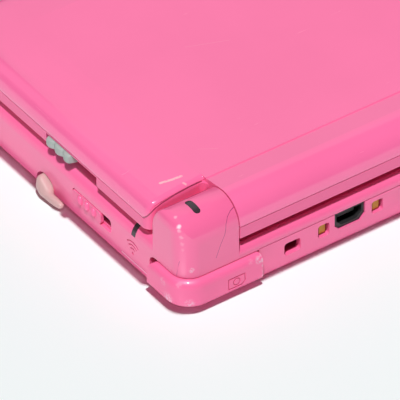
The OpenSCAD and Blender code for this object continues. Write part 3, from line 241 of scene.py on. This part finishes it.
def moulded(name, colour, rough, coat, grain, per_mm, marks=None):
    """Moulded plastic: faint flow mottling, a fine skin, hairline rubs, specks of dust, then its own marks.

    grain is the depth of the skin's relief, and per_mm how fine it is. marks gives layers for a finish, each
    a mask, the colour under it and how far it is sunk, as a share of grain. Below 0 it is raised.
    """
    f = Finish(name)
    flow = f.noise(0.035, 3.0, 0.55)
    skin = f.noise(per_mm, 3.0, 0.6)
    rubs = f.noise(0.9, 4.0, 0.6, (0.06, 1.0, 0.7)).step(0.64, 0.72)
    cross_rubs = f.noise(0.8, 4.0, 0.6, (1.0, 0.05, 0.7)).step(0.66, 0.74)
    handling = rubs.at_least(cross_rubs) * f.noise(0.11, 2.0).step(0.45, 0.65)
    specks = f.cells(1.3).step(0.055, 0.03) * f.noise(0.35, 1.0).step(0.56, 0.62)
    shade = tuple(c * 0.975 for c in colour)
    tint = tuple(min(1.0, c * 1.015) for c in colour)
    rub_strength, dust_strength, rub_depth, skin_share = 0.05, 0.25, 0.25, 0.35
    paint = f.mix(flow.step(0.3, 0.7), shade, tint)
    paint = f.mix(handling * rub_strength, paint, PALE_RUB_AND_HIGHLIGHT)
    paint = f.mix(specks * dust_strength, paint, DUST)
    relief = skin * skin_share + (1 - handling * rub_depth) * (1 - skin_share)
    for mask, under, sink in (marks(f) if marks else []):
        paint = f.mix(mask, paint, under)
        relief = relief - mask * sink
    finish_rough = (flow - 0.5) * 0.08 + handling * 0.12 + specks * 0.2 + rough
    f.set(Base_Color=paint, Roughness=finish_rough, Normal=f.bump(relief, grain))
    return f.set(IOR=1.5, Coat_Weight=coat, Coat_Roughness=0.08, Coat_IOR=1.5)


def notch_seam(f):
    """Dirt where the cover's lip meets the inner shell, round its rear right corner and along the notch."""
    path = [
        (76.5, 30.8, 16.2), (76.3, 31.4, 16.6), (76.0, 31.8, 17.15), (75.7, 32.05, 17.65),
        (75.15, 32.3, 18.3), (74.5, 32.35, 18.8), (73.0, 32.35, 19.3), (69.75, 32.3, 19.9),
        (65.7, 32.25, 20.25), (62.9, 32.3, 20.35),
    ]
    return f.strokes(path, 0.14, 0.5)


def seam(f, height):
    """Dirt in a seam groove that runs level round the case."""
    return f.inside(f.z, height, height + SEAM_WIDTH, 0.03)


def edge_rub_and_highlight(f, low, high):
    """Pale band along a lower edge, broken as handling leaves it: wear, and on the case's foot painted
    highlight too.
    """
    return f.inside(f.z, low, high, 0.2) * f.noise(0.5, 3.0).step(0.3, 0.75)


def smudges(f, places):
    """Soft irregular pale rubs, each given by its middle, its radius and its strength."""
    broken = f.noise(1.6, 4.0, 0.65).step(0.38, 0.6)
    return strongest(
        f.distance(middle).step(radius, radius * 0.2) * broken * strength
        for middle, radius, strength in places)


def painted_glints(f, places):
    """Small ragged painted highlights, each given by its middle, its radius and its strength."""
    ragged = (f.noise(1.1, 3.0) - 0.5) * 1.5
    return strongest(
        (f.distance(middle) + ragged * radius).step(radius, radius * 0.1) * strength
        for middle, radius, strength in places)


def upper_case_marks(f):
    """Marks of the right knuckle, the back seam and the right side.

    They are painted shade in the gap before the knuckle, two hairline cracks down it, small rubs, painted
    highlights down its corner, dirt in the seam, and the engraved wireless waves drawn flat in painted shade.
    """
    # Painted shade: the gap between the lid's notch and the knuckle is darkened in colour.
    front, rear, outer = 33.0, 36.15, 74.6
    gap = f.inside(f.y, front, rear, 0.35) * f.z.step(17.0, 19.5)
    yield gap * f.inside(f.x, knuckle_inner + 0.5, outer, 0.8) * 0.8, PAINTED_GAP_SHADE, 0.0
    long_crack = [
        (62.5, 0, 20.4), (63.6, 0, 20.1), (64.7, 0, 19.4), (65.5, 0, 18.2),
        (66.1, 0, 16.0), (67.3, 0, 13.5), (68.3, 0, 10.9),
    ]
    corner_crack = [(76.0, 42.85, 12.1), (76.25, 42.5, 10.2), (76.3, 42.2, 8.05)]
    behind = f.y.step(knuckle_front, knuckle_front + 0.5) * f.x.step(knuckle_inner - 0.2, knuckle_inner)
    cracks = f.strokes(long_crack, 0.055, 0.6, ACROSS_BACK) * behind
    cracks = cracks.at_least(f.strokes(corner_crack, 0.05, 0.6))
    yield cracks * 0.85, CRACK, 0.8
    yield smudges(f, [
        ((74.2, 44.6, 10.0), 0.9, 0.8), ((62.0, 44.8, 16.0), 1.2, 0.25), ((70.0, 36.0, 21.5), 1.5, 0.2),
    ]), PALE_RUB_AND_HIGHLIGHT, 0.1
    # Painted highlights: pale glints down the knuckle's rounded corner.
    yield painted_glints(f, [
        ((75.0, 40.2, 21.65), 0.55, 0.4), ((75.7, 42.3, 20.7), 0.75, 0.95), ((75.7, 42.5, 20.1), 0.7, 0.5),
        ((75.75, 43.1, 18.6), 0.7, 0.3), ((75.6, 43.4, 16.8), 0.7, 0.18), ((75.5, 43.5, 15.3), 0.6, 0.1),
    ]), GLINT, 0.0
    back = f.y.step(back_wall - 0.6, back_wall - 0.5) * f.inside(f.x, -shoulder_inner, shoulder_inner)
    yield seam(f, BACK_SEAM) * back, SEAM_SHADE, 0.0
    dot = (right_wall, back_wall - 18.4, 3.9)
    dot_half, line_half, fan_slope = 0.35, 0.17, 0.93
    slope = (f.y - dot[1]) / (f.z - dot[2]).at_least(0.05)
    fan = f.inside(slope, -fan_slope, fan_slope, 0.05)
    arcs = strongest(f.ring(dot, radius, line_half, ACROSS_SIDE) for radius in (1.2, 2.1, 3.0))
    waves = f.ring(dot, 0, dot_half, ACROSS_SIDE).at_least(arcs * fan)
    # The engraved waves are drawn flat, in a darker pink that is painted shade.
    yield waves * f.x.step(right_wall - 0.7, right_wall - 0.5) * 0.9, PAINTED_ENGRAVING_SHADE, 0.0


def lower_case_marks(f):
    """A pale foot band, partly wear and partly painted highlight, and a painted highlight on the right side's
    lip.
    """
    # Pale band round the foot: partly handling wear, partly a painted highlight along the foot's edge.
    yield edge_rub_and_highlight(f, 0.25, 0.8) * 0.5, PALE_RUB_AND_HIGHLIGHT, 0.0
    # Painted highlight along the top edge of the lip on the right side.
    yield f.inside(f.z, 1.55, 2.0, 0.1) * f.x.step(right_wall - 0.4, right_wall - 0.2) * 0.45, PALE_RUB_AND_HIGHLIGHT, 0.0


def button_marks(f):
    """Worn ends, corner and lower edge of the right shoulder button, and its engraved camera outline in
    painted shade.
    """
    yield edge_rub_and_highlight(f, 1.0, 1.5) * 0.45, PALE_RUB_AND_HIGHLIGHT, 0.0
    end = f.inside(f.x, shoulder_inner - 0.2, shoulder_inner + 0.35, 0.15) * f.noise(0.8, 3.0).step(0.35, 0.6)
    yield end * 0.55, PALE_RUB_AND_HIGHLIGHT, 0.1
    yield smudges(f, [
        ((77.8, 41.3, 2.2), 1.9, 0.75), ((75.4, 45.6, 2.3), 1.5, 0.6), ((78.0, 39.6, 5.6), 1.2, 0.35),
        ((58.3, 46.5, 6.5), 1.3, 0.8), ((60.4, 46.5, 7.0), 1.0, 0.35), ((77.0, 43.8, 6.9), 1.2, 0.3),
    ]), PALE_RUB_AND_HIGHLIGHT, 0.1
    middle = (right_wall - 12.5, back_wall, 3.5)
    wide, tall, cut, lens = 2.07, 1.27, 0.72, 0.82
    outline = [
        (wide, -tall), (cut - wide, -tall), (-wide, cut - tall), (-wide, tall), (wide, tall), (wide, -tall),
    ]
    path = [(middle[0] + across, 0, middle[2] + up) for across, up in outline]
    camera = f.strokes(path, 0.13, 0.4, ACROSS_BACK).at_least(f.ring(middle, lens, 0.12, ACROSS_BACK))
    # The engraved camera outline is drawn flat, in a darker pink that is painted shade.
    yield camera * f.y.step(back_wall, back_wall + 0.2) * 0.9, PAINTED_ENGRAVING_SHADE, 0.0


def lid_marks(f):
    """A pale scratch near the rear corner, the nick past its end, fine scuffs, and dirt in the seams."""
    scratch = f.strokes([(70.4, 28.2, 0), (67.9, 28.95, 0), (65.9, 29.25, 0)], 0.3, 0.5, ACROSS_TOP)
    ragged = f.noise(2.2, 3.0).step(0.25, 0.5)
    top = f.z.step(lid_seam + 3.5, lid_seam + 4.0)
    yield scratch * ragged * top * 0.85, BARE_PLASTIC, 0.5
    nick = f.stroke((66.75, 31.3, 0), (66.5, 31.7, 0), 0.22, 0.6, ACROSS_TOP)
    yield nick * top * 0.7, BARE_PLASTIC, 0.5
    scuffs = f.stroke((58.0, 24.0, 0), (54.5, 26.2, 0), 0.05, 0.5, ACROSS_TOP)
    scuffs = scuffs.at_least(f.stroke((40.0, -6.0, 0), (31.0, -2.5, 0), 0.05, 0.5, ACROSS_TOP))
    yield scuffs * top * 0.22, BARE_PLASTIC, 0.1
    yield seam(f, lid_seam).at_least(notch_seam(f) * 0.8), SEAM_SHADE, 0.0


def inner_lid_marks(f):
    """The inner shell's half of the dirt along the notch."""
    yield notch_seam(f) * 0.8, SEAM_SHADE, 0.0


def picture_marks(name, inset_x, inset_y, shade):
    """The picture behind a window: a slightly lighter rectangle, set in from the node's edges."""
    low, high = corners(name)

    def marks(f):
        across = f.inside(f.x, low.x + inset_x, high.x - inset_x)
        yield across * f.inside(f.y, low.y + inset_y, high.y - inset_y), shade, 0.0
    return marks


def board_marks(f):
    """Copper runs under green lacquer, with tinned pads."""
    runs_per_mm, cross_runs_per_mm, pads_per_mm = 1.1, 1.3, 0.28
    runs = (f.x * runs_per_mm).maths("FRACT").step(0.3, 0.24)
    runs = runs * f.noise(0.07, 1.0, 0.5, (1, 0.15, 1)).step(0.5, 0.53)
    cross = (f.y * cross_runs_per_mm).maths("FRACT").step(0.3, 0.24)
    cross = cross * f.noise(0.08, 1.0, 0.5, (0.15, 1, 1)).step(0.55, 0.58)
    yield runs.at_least(cross), BRIGHT_LACQUER, -0.6
    pads = f.cells(pads_per_mm).step(0.2, 0.17)
    yield pads * f.noise(0.1, 1.0).step(0.5, 0.56), TINNED, -1.0


def ribbon_marks(f):
    """Copper lines that run round the rolled flat cable."""
    lines_per_mm = 2.0
    yield (f.x * lines_per_mm).maths("FRACT").step(0.55, 0.45), COPPER, -0.4


def battery_marks(f):
    """A pale wrapper round the cell's middle, bare of any print."""
    low, high = corners("battery")
    bare_end = 6
    yield f.inside(f.x, low.x + bare_end, high.x - bare_end, 0.05), WRAPPER, -0.3


# One finish for each slot: name, colour, roughness, coat, depth of the grain, grain per millimetre, marks
FINISHES = {
    "pink_shell": moulded("case_pink", HOT_PINK, 0.34, 0.5, 0.006, 1.6, upper_case_marks),
    "pink_cover": moulded("lid_pink", rgb(254, 114, 168), 0.22, 0.9, 0.003, 1.2, lid_marks),
    "pink_button": moulded("shoulder_pink", rgb(250, 108, 161), 0.42, 0.2, 0.006, 1.6, button_marks),
    "pink_matte": moulded("inner_pink", rgb(248, 112, 160), 0.5, 0.0, 0.012, 3.0),
    "control_grey": moulded("control_grey", rgb(112, 110, 114), 0.42, 0.0, 0.01, 3.0),
    "button_white": moulded("button_white", rgb(226, 224, 224), 0.3, 0.3, 0.004, 2.0),
    "slider_mint": moulded("slider_mint", rgb(166, 176, 171), 0.45, 0.0, 0.01, 3.0),
    "stylus_peach": moulded("stylus_peach", rgb(203, 165, 164), 0.4, 0.1, 0.006, 2.0),
    "black_glass": moulded("smoked_glass", rgb(14, 14, 16), 0.08, 0.0, 0.0005, 1.0),
    "black_plastic": moulded("black_plastic", rgb(38, 37, 39), 0.5, 0.0, 0.01, 3.0),
    "light_window": moulded("light_window", rgb(62, 48, 56), 0.25, 0.3, 0.002, 2.0),
    "steel": moulded("steel", rgb(170, 170, 174), 0.32, 0.0, 0.002, 2.0),
    "gold_contact": moulded("brass_contact", rgb(176, 128, 62), 0.34, 0.0, 0.002, 2.0),
    "board_green": moulded("circuit_board", rgb(32, 88, 54), 0.4, 0.3, 0.01, 2.0, board_marks),
    "rubber_pad": moulded("membrane_rubber", rgb(150, 148, 142), 0.7, 0.0, 0.01, 3.0),
    "pink_rubber": moulded("pink_rubber", rgb(226, 112, 154), 0.65, 0.0, 0.01, 3.0),
}
for slot in ("steel", "gold_contact"):
    FINISHES[slot].node_tree.nodes["Principled BSDF"].inputs["Metallic"].default_value = 0.9

# Nodes whose finish differs from that of the rest of their slot
OWN_FINISH = {
    "base_lower_shell": moulded("lower_case_pink", HOT_PINK, 0.38, 0.4, 0.006, 1.6, lower_case_marks),
    "battery_cover": moulded("cover_pink", rgb(248, 108, 160), 0.5, 0.0, 0.02, 1.8),
    # Painted shade: the inner shell's pink is a little darker than the case's, for its strip and notch wall
    # under the lid's edge.
    "lid_inner_shell": moulded("shaded_inner_lid_pink", rgb(248, 104, 158), 0.42, 0.2, 0.008, 1.8, inner_lid_marks),
    "screen_window": moulded("screen_glass", rgb(13, 13, 15), 0.06, 0.0, 0.0004, 1.0,
                             picture_marks("screen_window", 6.0, 3.5, rgb(34, 35, 38))),
    "touch_screen": moulded("touch_film", rgb(30, 30, 32), 0.22, 0.0, 0.001, 2.0,
                            picture_marks("touch_screen", 1.2, 1.2, rgb(46, 47, 50))),
    "battery": moulded("battery_wrap", rgb(44, 44, 46), 0.45, 0.0, 0.006, 1.0, battery_marks),
    "display_ribbon": moulded("flat_cable", rgb(150, 88, 44), 0.45, 0.2, 0.004, 1.0, ribbon_marks),
}

# Rounding of the sharp edges, for the nodes that show most
EDGES = {
    "base_upper_shell": 0.25, "base_lower_shell": 0.3, "battery_cover": 0.2, "lid_cover": 0.25,
    "lid_inner_shell": 0.25, "right_shoulder_button": 0.3, "left_shoulder_button": 0.3,
}


def soften(node, width):
    """Rounds a node's sharp edges, after flat neighbours are joined into whole faces."""
    weld = node.modifiers.new("weld", "WELD")
    weld.merge_threshold = 0.002 * MM
    flat = node.modifiers.new("flat", "DECIMATE")
    flat.decimate_type = "DISSOLVE"
    flat.angle_limit = math.radians(1.0)
    edge = node.modifiers.new("edge", "BEVEL")
    edge.limit_method = "ANGLE"
    edge.angle_limit = math.radians(35)
    edge.width = width * MM
    edge.segments = 3
    edge.miter_outer = "MITER_ARC"


def dress_nodes():
    """Gives each node its own finish or its slot's, and rounds the edges that show."""
    for name, node in nodes.items():
        for slot in node.material_slots:
            slot.material = OWN_FINISH.get(name, FINISHES[slot.name.split(".")[0]])
        if name in EDGES:
            soften(node, EDGES[name])


# ----------------------------------------------------------------- fine pieces
def add_piece(name, shape, finish, body, smooth=True):
    """Turns a mesh made in millimetres into a piece with a finish, which rides on a body and fills a slot."""
    bmesh.ops.recalc_face_normals(shape, faces=shape.faces)
    bmesh.ops.scale(shape, vec=(MM, MM, MM), verts=shape.verts)
    mesh = bpy.data.meshes.new(name)
    shape.to_mesh(mesh)
    shape.free()
    mesh.materials.append(finish)
    for face in mesh.polygons:
        face.use_smooth = smooth
    made = bpy.data.objects.new(name, mesh)
    bpy.context.scene.collection.objects.link(made)
    console.objects.link(made)
    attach(made, body)
    return made


def add_loft(shape, rings):
    """Skins rings of equally many points, with a face over each end."""
    loops = [[shape.verts.new(point) for point in ring] for ring in rings]
    count = len(loops[0])
    for near, far in zip(loops, loops[1:]):
        for n in range(count):
            shape.faces.new((near[n], near[(n + 1) % count], far[(n + 1) % count], far[n]))
    shape.faces.new(loops[0])
    shape.faces.new(loops[-1])


def add_turned(shape, profile, middle):
    """Turns a profile of (radius, height) about an upright axis, and closes both its ends."""
    steps = 32
    turns = [2 * math.pi * n / steps for n in range(steps)]
    rings = []
    for radius, height in profile:
        rings.append([
            (middle[0] + radius * math.cos(turn), middle[1] + radius * math.sin(turn), middle[2] + height)
            for turn in turns])
    add_loft(shape, rings)


def add_bar(shape, low, high, chamfer):
    """Small block whose upper and lower edges are taken off."""
    def outline(inset):
        return [(low.x + inset, low.y + inset), (high.x - inset, low.y + inset),
                (high.x - inset, high.y - inset), (low.x + inset, high.y - inset)]
    levels = [(low.z, chamfer), (low.z + chamfer, 0), (high.z - chamfer, 0), (high.z, chamfer)]
    add_loft(shape, [[(x, y, z) for x, y in outline(inset)] for z, inset in levels])


def make_camera_lenses():
    """A black ring and a bulging glass in each camera window's recess, and a glass over the inner camera."""
    ring_finish = moulded("lens_ring", rgb(28, 27, 30), 0.3, 0.2, 0.002, 2.0)
    glass = moulded("lens_glass", rgb(18, 10, 26), 0.05, 0.6, 0.0004, 1.0)
    low, high = corners("camera_windows")
    window_r = (high.y - low.y) / 2
    recess_depth = 0.15
    ring_profile = [(1.3, 0), (2.1, 0), (2.1, 0.06), (1.95, 0.12), (1.6, 0.12), (1.35, 0.04)]
    glass_profile = [(1.34, 0.01), (1.3, 0.05), (1.1, 0.09), (0.8, 0.115), (0.45, 0.13), (0.05, 0.135)]
    for side, across in (("right", high.x - window_r), ("left", low.x + window_r)):
        middle = (across, low.y + window_r, high.z - recess_depth)
        for part, profile, finish in (("ring", ring_profile, ring_finish), ("glass", glass_profile, glass)):
            shape = bmesh.new()
            add_turned(shape, profile, middle)
            add_piece(f"{side}_camera_{part}", shape, finish, "lid")
    low, high = corners("inner_camera")
    eye_from_back = 1.8
    shape = bmesh.new()
    eye_profile = [(0.05, -0.12), (0.5, -0.1), (0.85, -0.04), (0.95, 0.02), (0.9, 0.05)]
    add_turned(shape, eye_profile, (0.0, high.y - eye_from_back, low.z))
    add_piece("inner_camera_glass", shape, glass, "lid")


def make_socket_pins():
    """Four sprung pins on the tongue of the power socket."""
    low, high = corners("power_socket")
    middle_x = (low.x + high.x) / 2
    tongue_top = high.z - 1.6
    pitch, half, sunk, proud, chamfer = 1.0, 0.28, 0.05, 0.12, 0.04
    inner_y, outer_y = high.y - 6.6, high.y - 1.5
    shape = bmesh.new()
    for pin in range(4):
        across = middle_x + (pin - 1.5) * pitch
        near = Vector((across - half, inner_y, tongue_top - sunk))
        far = Vector((across + half, outer_y, tongue_top + proud))
        add_bar(shape, near, far, chamfer)
    add_piece("power_socket_pins", shape, FINISHES["steel"], "base", smooth=False)


def make_screw_crosses():
    """Dark crosses let into the screw heads under the case, a hair proud of them: painted shade for their
    recesses.
    """
    painted_recess_shade = moulded("painted_screw_shade", rgb(26, 26, 28), 0.6, 0.0, 0.004, 3.0)
    head_r = 1.6
    low, high = corners("case_screws")
    rear_x = 50.0
    places = [(side * (high.x - head_r), low.y + head_r, low.z) for side in (1, -1)]
    places += [(side * rear_x, high.y - head_r, low.z) for side in (1, -1)]
    low, high = corners("battery_cover_screws")
    places += [(side * (high.x - head_r), low.y + head_r, low.z) for side in (1, -1)]
    shape = bmesh.new()
    arm, half, depth, proud = 0.95, 0.17, 0.12, 0.015
    corner = [(half, arm), (half, half), (arm, half)]
    outline = []
    for quarter in range(4):
        turn = Matrix.Rotation(-quarter * math.pi / 2, 2)
        outline += [turn @ Vector(point) for point in corner]
    for across, back, up in places:
        rings = [[(across + p.x, back + p.y, up + height) for p in outline] for height in (-proud, depth)]
        add_loft(shape, rings)
    add_piece("screw_cross_shades", shape, painted_recess_shade, "base", smooth=False)


def make_power_mark():
    """The plain standby sign on the power key: an open ring with a stroke in its gap."""
    pale = moulded("sign_white", rgb(244, 236, 240), 0.4, 0.0, 0.002, 3.0)
    low, high = corners("power_button")
    middle = Vector(((low.x + high.x) / 2, (low.y + high.y) / 2, high.z))
    shape = bmesh.new()
    inner, outer, sunk, proud = 1.05, 1.3, 0.02, 0.02
    start, sweep, steps = math.radians(125), math.radians(290), 24
    rings = []
    for step in range(steps + 1):
        turn = start + sweep * step / steps
        across, up = math.cos(turn), math.sin(turn)
        section = [(inner, -sunk), (outer, -sunk), (outer, proud), (inner, proud)]
        rings.append([(middle.x + r * across, middle.y + r * up, middle.z + height) for r, height in section])
    add_loft(shape, rings)
    half, stroke_from, stroke_to, chamfer = 0.13, 0.45, 1.45, 0.005
    near = middle + Vector((-half, stroke_from, -sunk))
    far = middle + Vector((half, stroke_to, proud))
    add_bar(shape, near, far, chamfer)
    add_piece("power_sign", shape, pale, "power_button", smooth=False)


def make_switch_ridges():
    """Three upright oval ridges that a fingertip finds on the wireless switch."""
    low, high = corners("wireless_switch")
    middle_x = right_wall + 0.05
    first_y, pitch = low.y + 2.7, 2.5
    lean = Matrix.Rotation(math.radians(12), 3, "X")
    radii = Vector((0.7, 0.84, 1.16))
    shape = bmesh.new()
    for ridge in range(3):
        middle = Vector((middle_x, first_y + pitch * ridge, (low.z + high.z) / 2))
        grown = Matrix.LocRotScale(middle, lean, radii)
        bmesh.ops.create_uvsphere(shape, u_segments=24, v_segments=16, radius=1.0, matrix=grown)
    add_piece("switch_ridges", shape, FINISHES["pink_button"], "wireless_switch")


def make_depth_slider():
    """Knob of the depth slider: three soft lobes side by side, with every edge rounded."""
    low, high = corners("depth_slider")
    in_slot, lobe_reach, least_reach, proud = 2.2, 0.75, 0.25, 0.15
    bottom, top = low.z + 0.05, low.z + 2.25
    near, far = low.y + 0.85, high.y - 0.85
    lobes, steps, around = 3, 48, 20
    lobe_round, end_round, end_sharp, least_height = 0.8, 0.5, 4, 0.75
    round_out, round_in, round_up = 0.45, 0.2, 0.55
    rings = []
    for step in range(steps + 1):
        share = step / steps
        lobe = abs(math.sin(math.pi * lobes * share)) ** lobe_round
        end = min(1.0, math.sin(math.pi * share) * end_sharp) ** end_round
        reach = least_reach + (in_slot + lobe_reach * lobe - least_reach + proud) * end
        half = (top - bottom) / 2 * (least_height + (1 - least_height) * end)
        ring = []
        for n in range(around):
            turn = 2 * math.pi * n / around
            out, up = math.cos(turn), math.sin(turn)
            across = math.copysign(abs(out) ** (round_out if out > 0 else round_in), out)
            height = math.copysign(abs(up) ** round_up, up)
            x = right_wall - in_slot + reach / 2 * (1 + across)
            ring.append((x, near + (far - near) * share, (top + bottom) / 2 + half * height))
        rings.append(ring)
    shape = bmesh.new()
    add_loft(shape, rings)
    knob = add_piece("depth_slider_knob", shape, FINISHES["slider_mint"], "depth_slider")
    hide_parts("depth_slider")


def smooth_stylus():
    """Runs the shapes of the stylus together into one soft form."""
    skin = nodes["stylus"].modifiers.new("skin", "REMESH")
    skin.mode = "VOXEL"
    skin.voxel_size = 0.22 * MM
    skin.use_smooth_shade = True
    relax = nodes["stylus"].modifiers.new("relax", "SMOOTH")
    relax.factor = 0.5
    relax.iterations = 14


# ------------------------------------------------------- camera, floor, lights
def place_camera():
    """Long lens looking down on the right knuckle from the rear right, rolled a little about its own axis."""
    aim = Vector((65.44, 35.36, 18.53)) * MM
    towards_camera = Vector((0.4457, 0.6403, 0.6256)).normalized()
    distance, view_width = 1.5, 0.08269  # metres
    roll = math.radians(-0.638)
    camera = bpy.data.objects.new("camera", bpy.data.cameras.new("camera"))
    bpy.context.scene.collection.objects.link(camera)
    turn = towards_camera.to_track_quat("Z", "Y").to_matrix() @ Matrix.Rotation(roll, 3, "Z")
    camera.matrix_world = Matrix.LocRotScale(aim + towards_camera * distance, turn, None)
    camera.data.sensor_width = 36
    camera.data.lens = camera.data.sensor_width * distance / view_width
    camera.data.clip_start = 0.01
    camera.data.clip_end = 20
    bpy.context.scene.camera = camera


def lamp(name, towards, distance, width, share, colour=(1, 1, 1)):
    """Square lamp in a direction from the knuckle's foot. distance and width are in metres.

    share is how much of full light it gives a surface that faces it.
    """
    knuckle_foot = Vector((60.0, 30.0, 0.0)) * MM
    light = bpy.data.lights.new(name, "AREA")
    light.shape = "SQUARE"
    light.size = width
    light.energy = share * (math.pi * distance) ** 2
    light.color = colour
    lamp_object = bpy.data.objects.new(name, light)
    bpy.context.scene.collection.objects.link(lamp_object)
    towards = Vector(towards).normalized()
    lamp_object.location = knuckle_foot + towards * distance
    lamp_object.rotation_euler = towards.to_track_quat("Z", "Y").to_euler()
    return lamp_object


def light_scene():
    """Plain studio light, apart for the console and the table.

    The console has a small high key, pale cards that show in the gloss, the table's glow from below and a
    spark for its rounded corners. The table has its own key, and a rosy fill for the shade on it.
    """
    world = bpy.data.worlds.new("room")
    bpy.context.scene.world = world
    world.use_nodes = True
    room = world.node_tree.nodes["Background"]
    room.inputs["Color"].default_value = (1.0, 1.0, 1.0, 1.0)
    room.inputs["Strength"].default_value = 0.012
    # Each lamp: name, direction, distance, width, share of full light, colour
    key = lamp("key", (0.33, 0.36, 1.0), 3.0, 0.16, 1.02)
    card = lamp("card", (-0.446, -0.640, 0.626), 3.0, 2.4, 0.1)
    edge_card = lamp("edge_card", (0.36, -0.64, 0.68), 3.0, 2.2, 0.045)
    table_glow = lamp("table_glow", (0.6, 0.2, -1.0), 2.0, 0.6, 0.19, (1.0, 0.80, 0.92))
    sparkle = lamp("sparkle", (0.547, 0.353, 0.764), 1.1, 0.05, 0.06)
    table_key = lamp("table_key", (-0.1, -0.05, 1.0), 3.0, 0.16, 0.985, (0.86, 0.995, 0.965))
    table_fill = lamp("table_fill", (0.5, 0.5, 1.0), 2.0, 2.5, 0.2, (1.0, 0.25, 0.45))
    for made in (key, card, edge_card, table_glow, sparkle):
        made.light_linking.receiver_collection = console
    for made in (table_key, table_fill):
        made.light_linking.receiver_collection = ground
    table_glow.light_linking.blocker_collection = console
    bpy.context.scene.view_settings.view_transform = "Standard"


def lay_floor():
    """Plain pale table top."""
    half_side = 3.0  # metres
    floor_mesh = bpy.data.meshes.new("floor")
    shape = bmesh.new()
    bmesh.ops.create_grid(shape, x_segments=2, y_segments=2, size=half_side)
    shape.to_mesh(floor_mesh)
    shape.free()
    floor = bpy.data.objects.new("floor", floor_mesh)
    bpy.context.scene.collection.objects.link(floor)
    f = Finish("floor")
    tone = f.noise(0.01, 2.0)
    paint = f.mix(tone, rgb(245, 245, 247), rgb(249, 250, 250))
    floor_mesh.materials.append(f.set(Base_Color=paint, Roughness=0.45))
    ground.objects.link(floor)


# The console and the table are lit apart, so each collection names what its lamps reach
console = bpy.data.collections.new("console_light")
ground = bpy.data.collections.new("ground_light")
for node in nodes.values():
    console.objects.link(node)
place_camera()
light_scene()
lay_floor()
dress_nodes()
make_camera_lenses()
make_socket_pins()
make_screw_crosses()
make_power_mark()
make_switch_ridges()
make_depth_slider()
smooth_stylus()
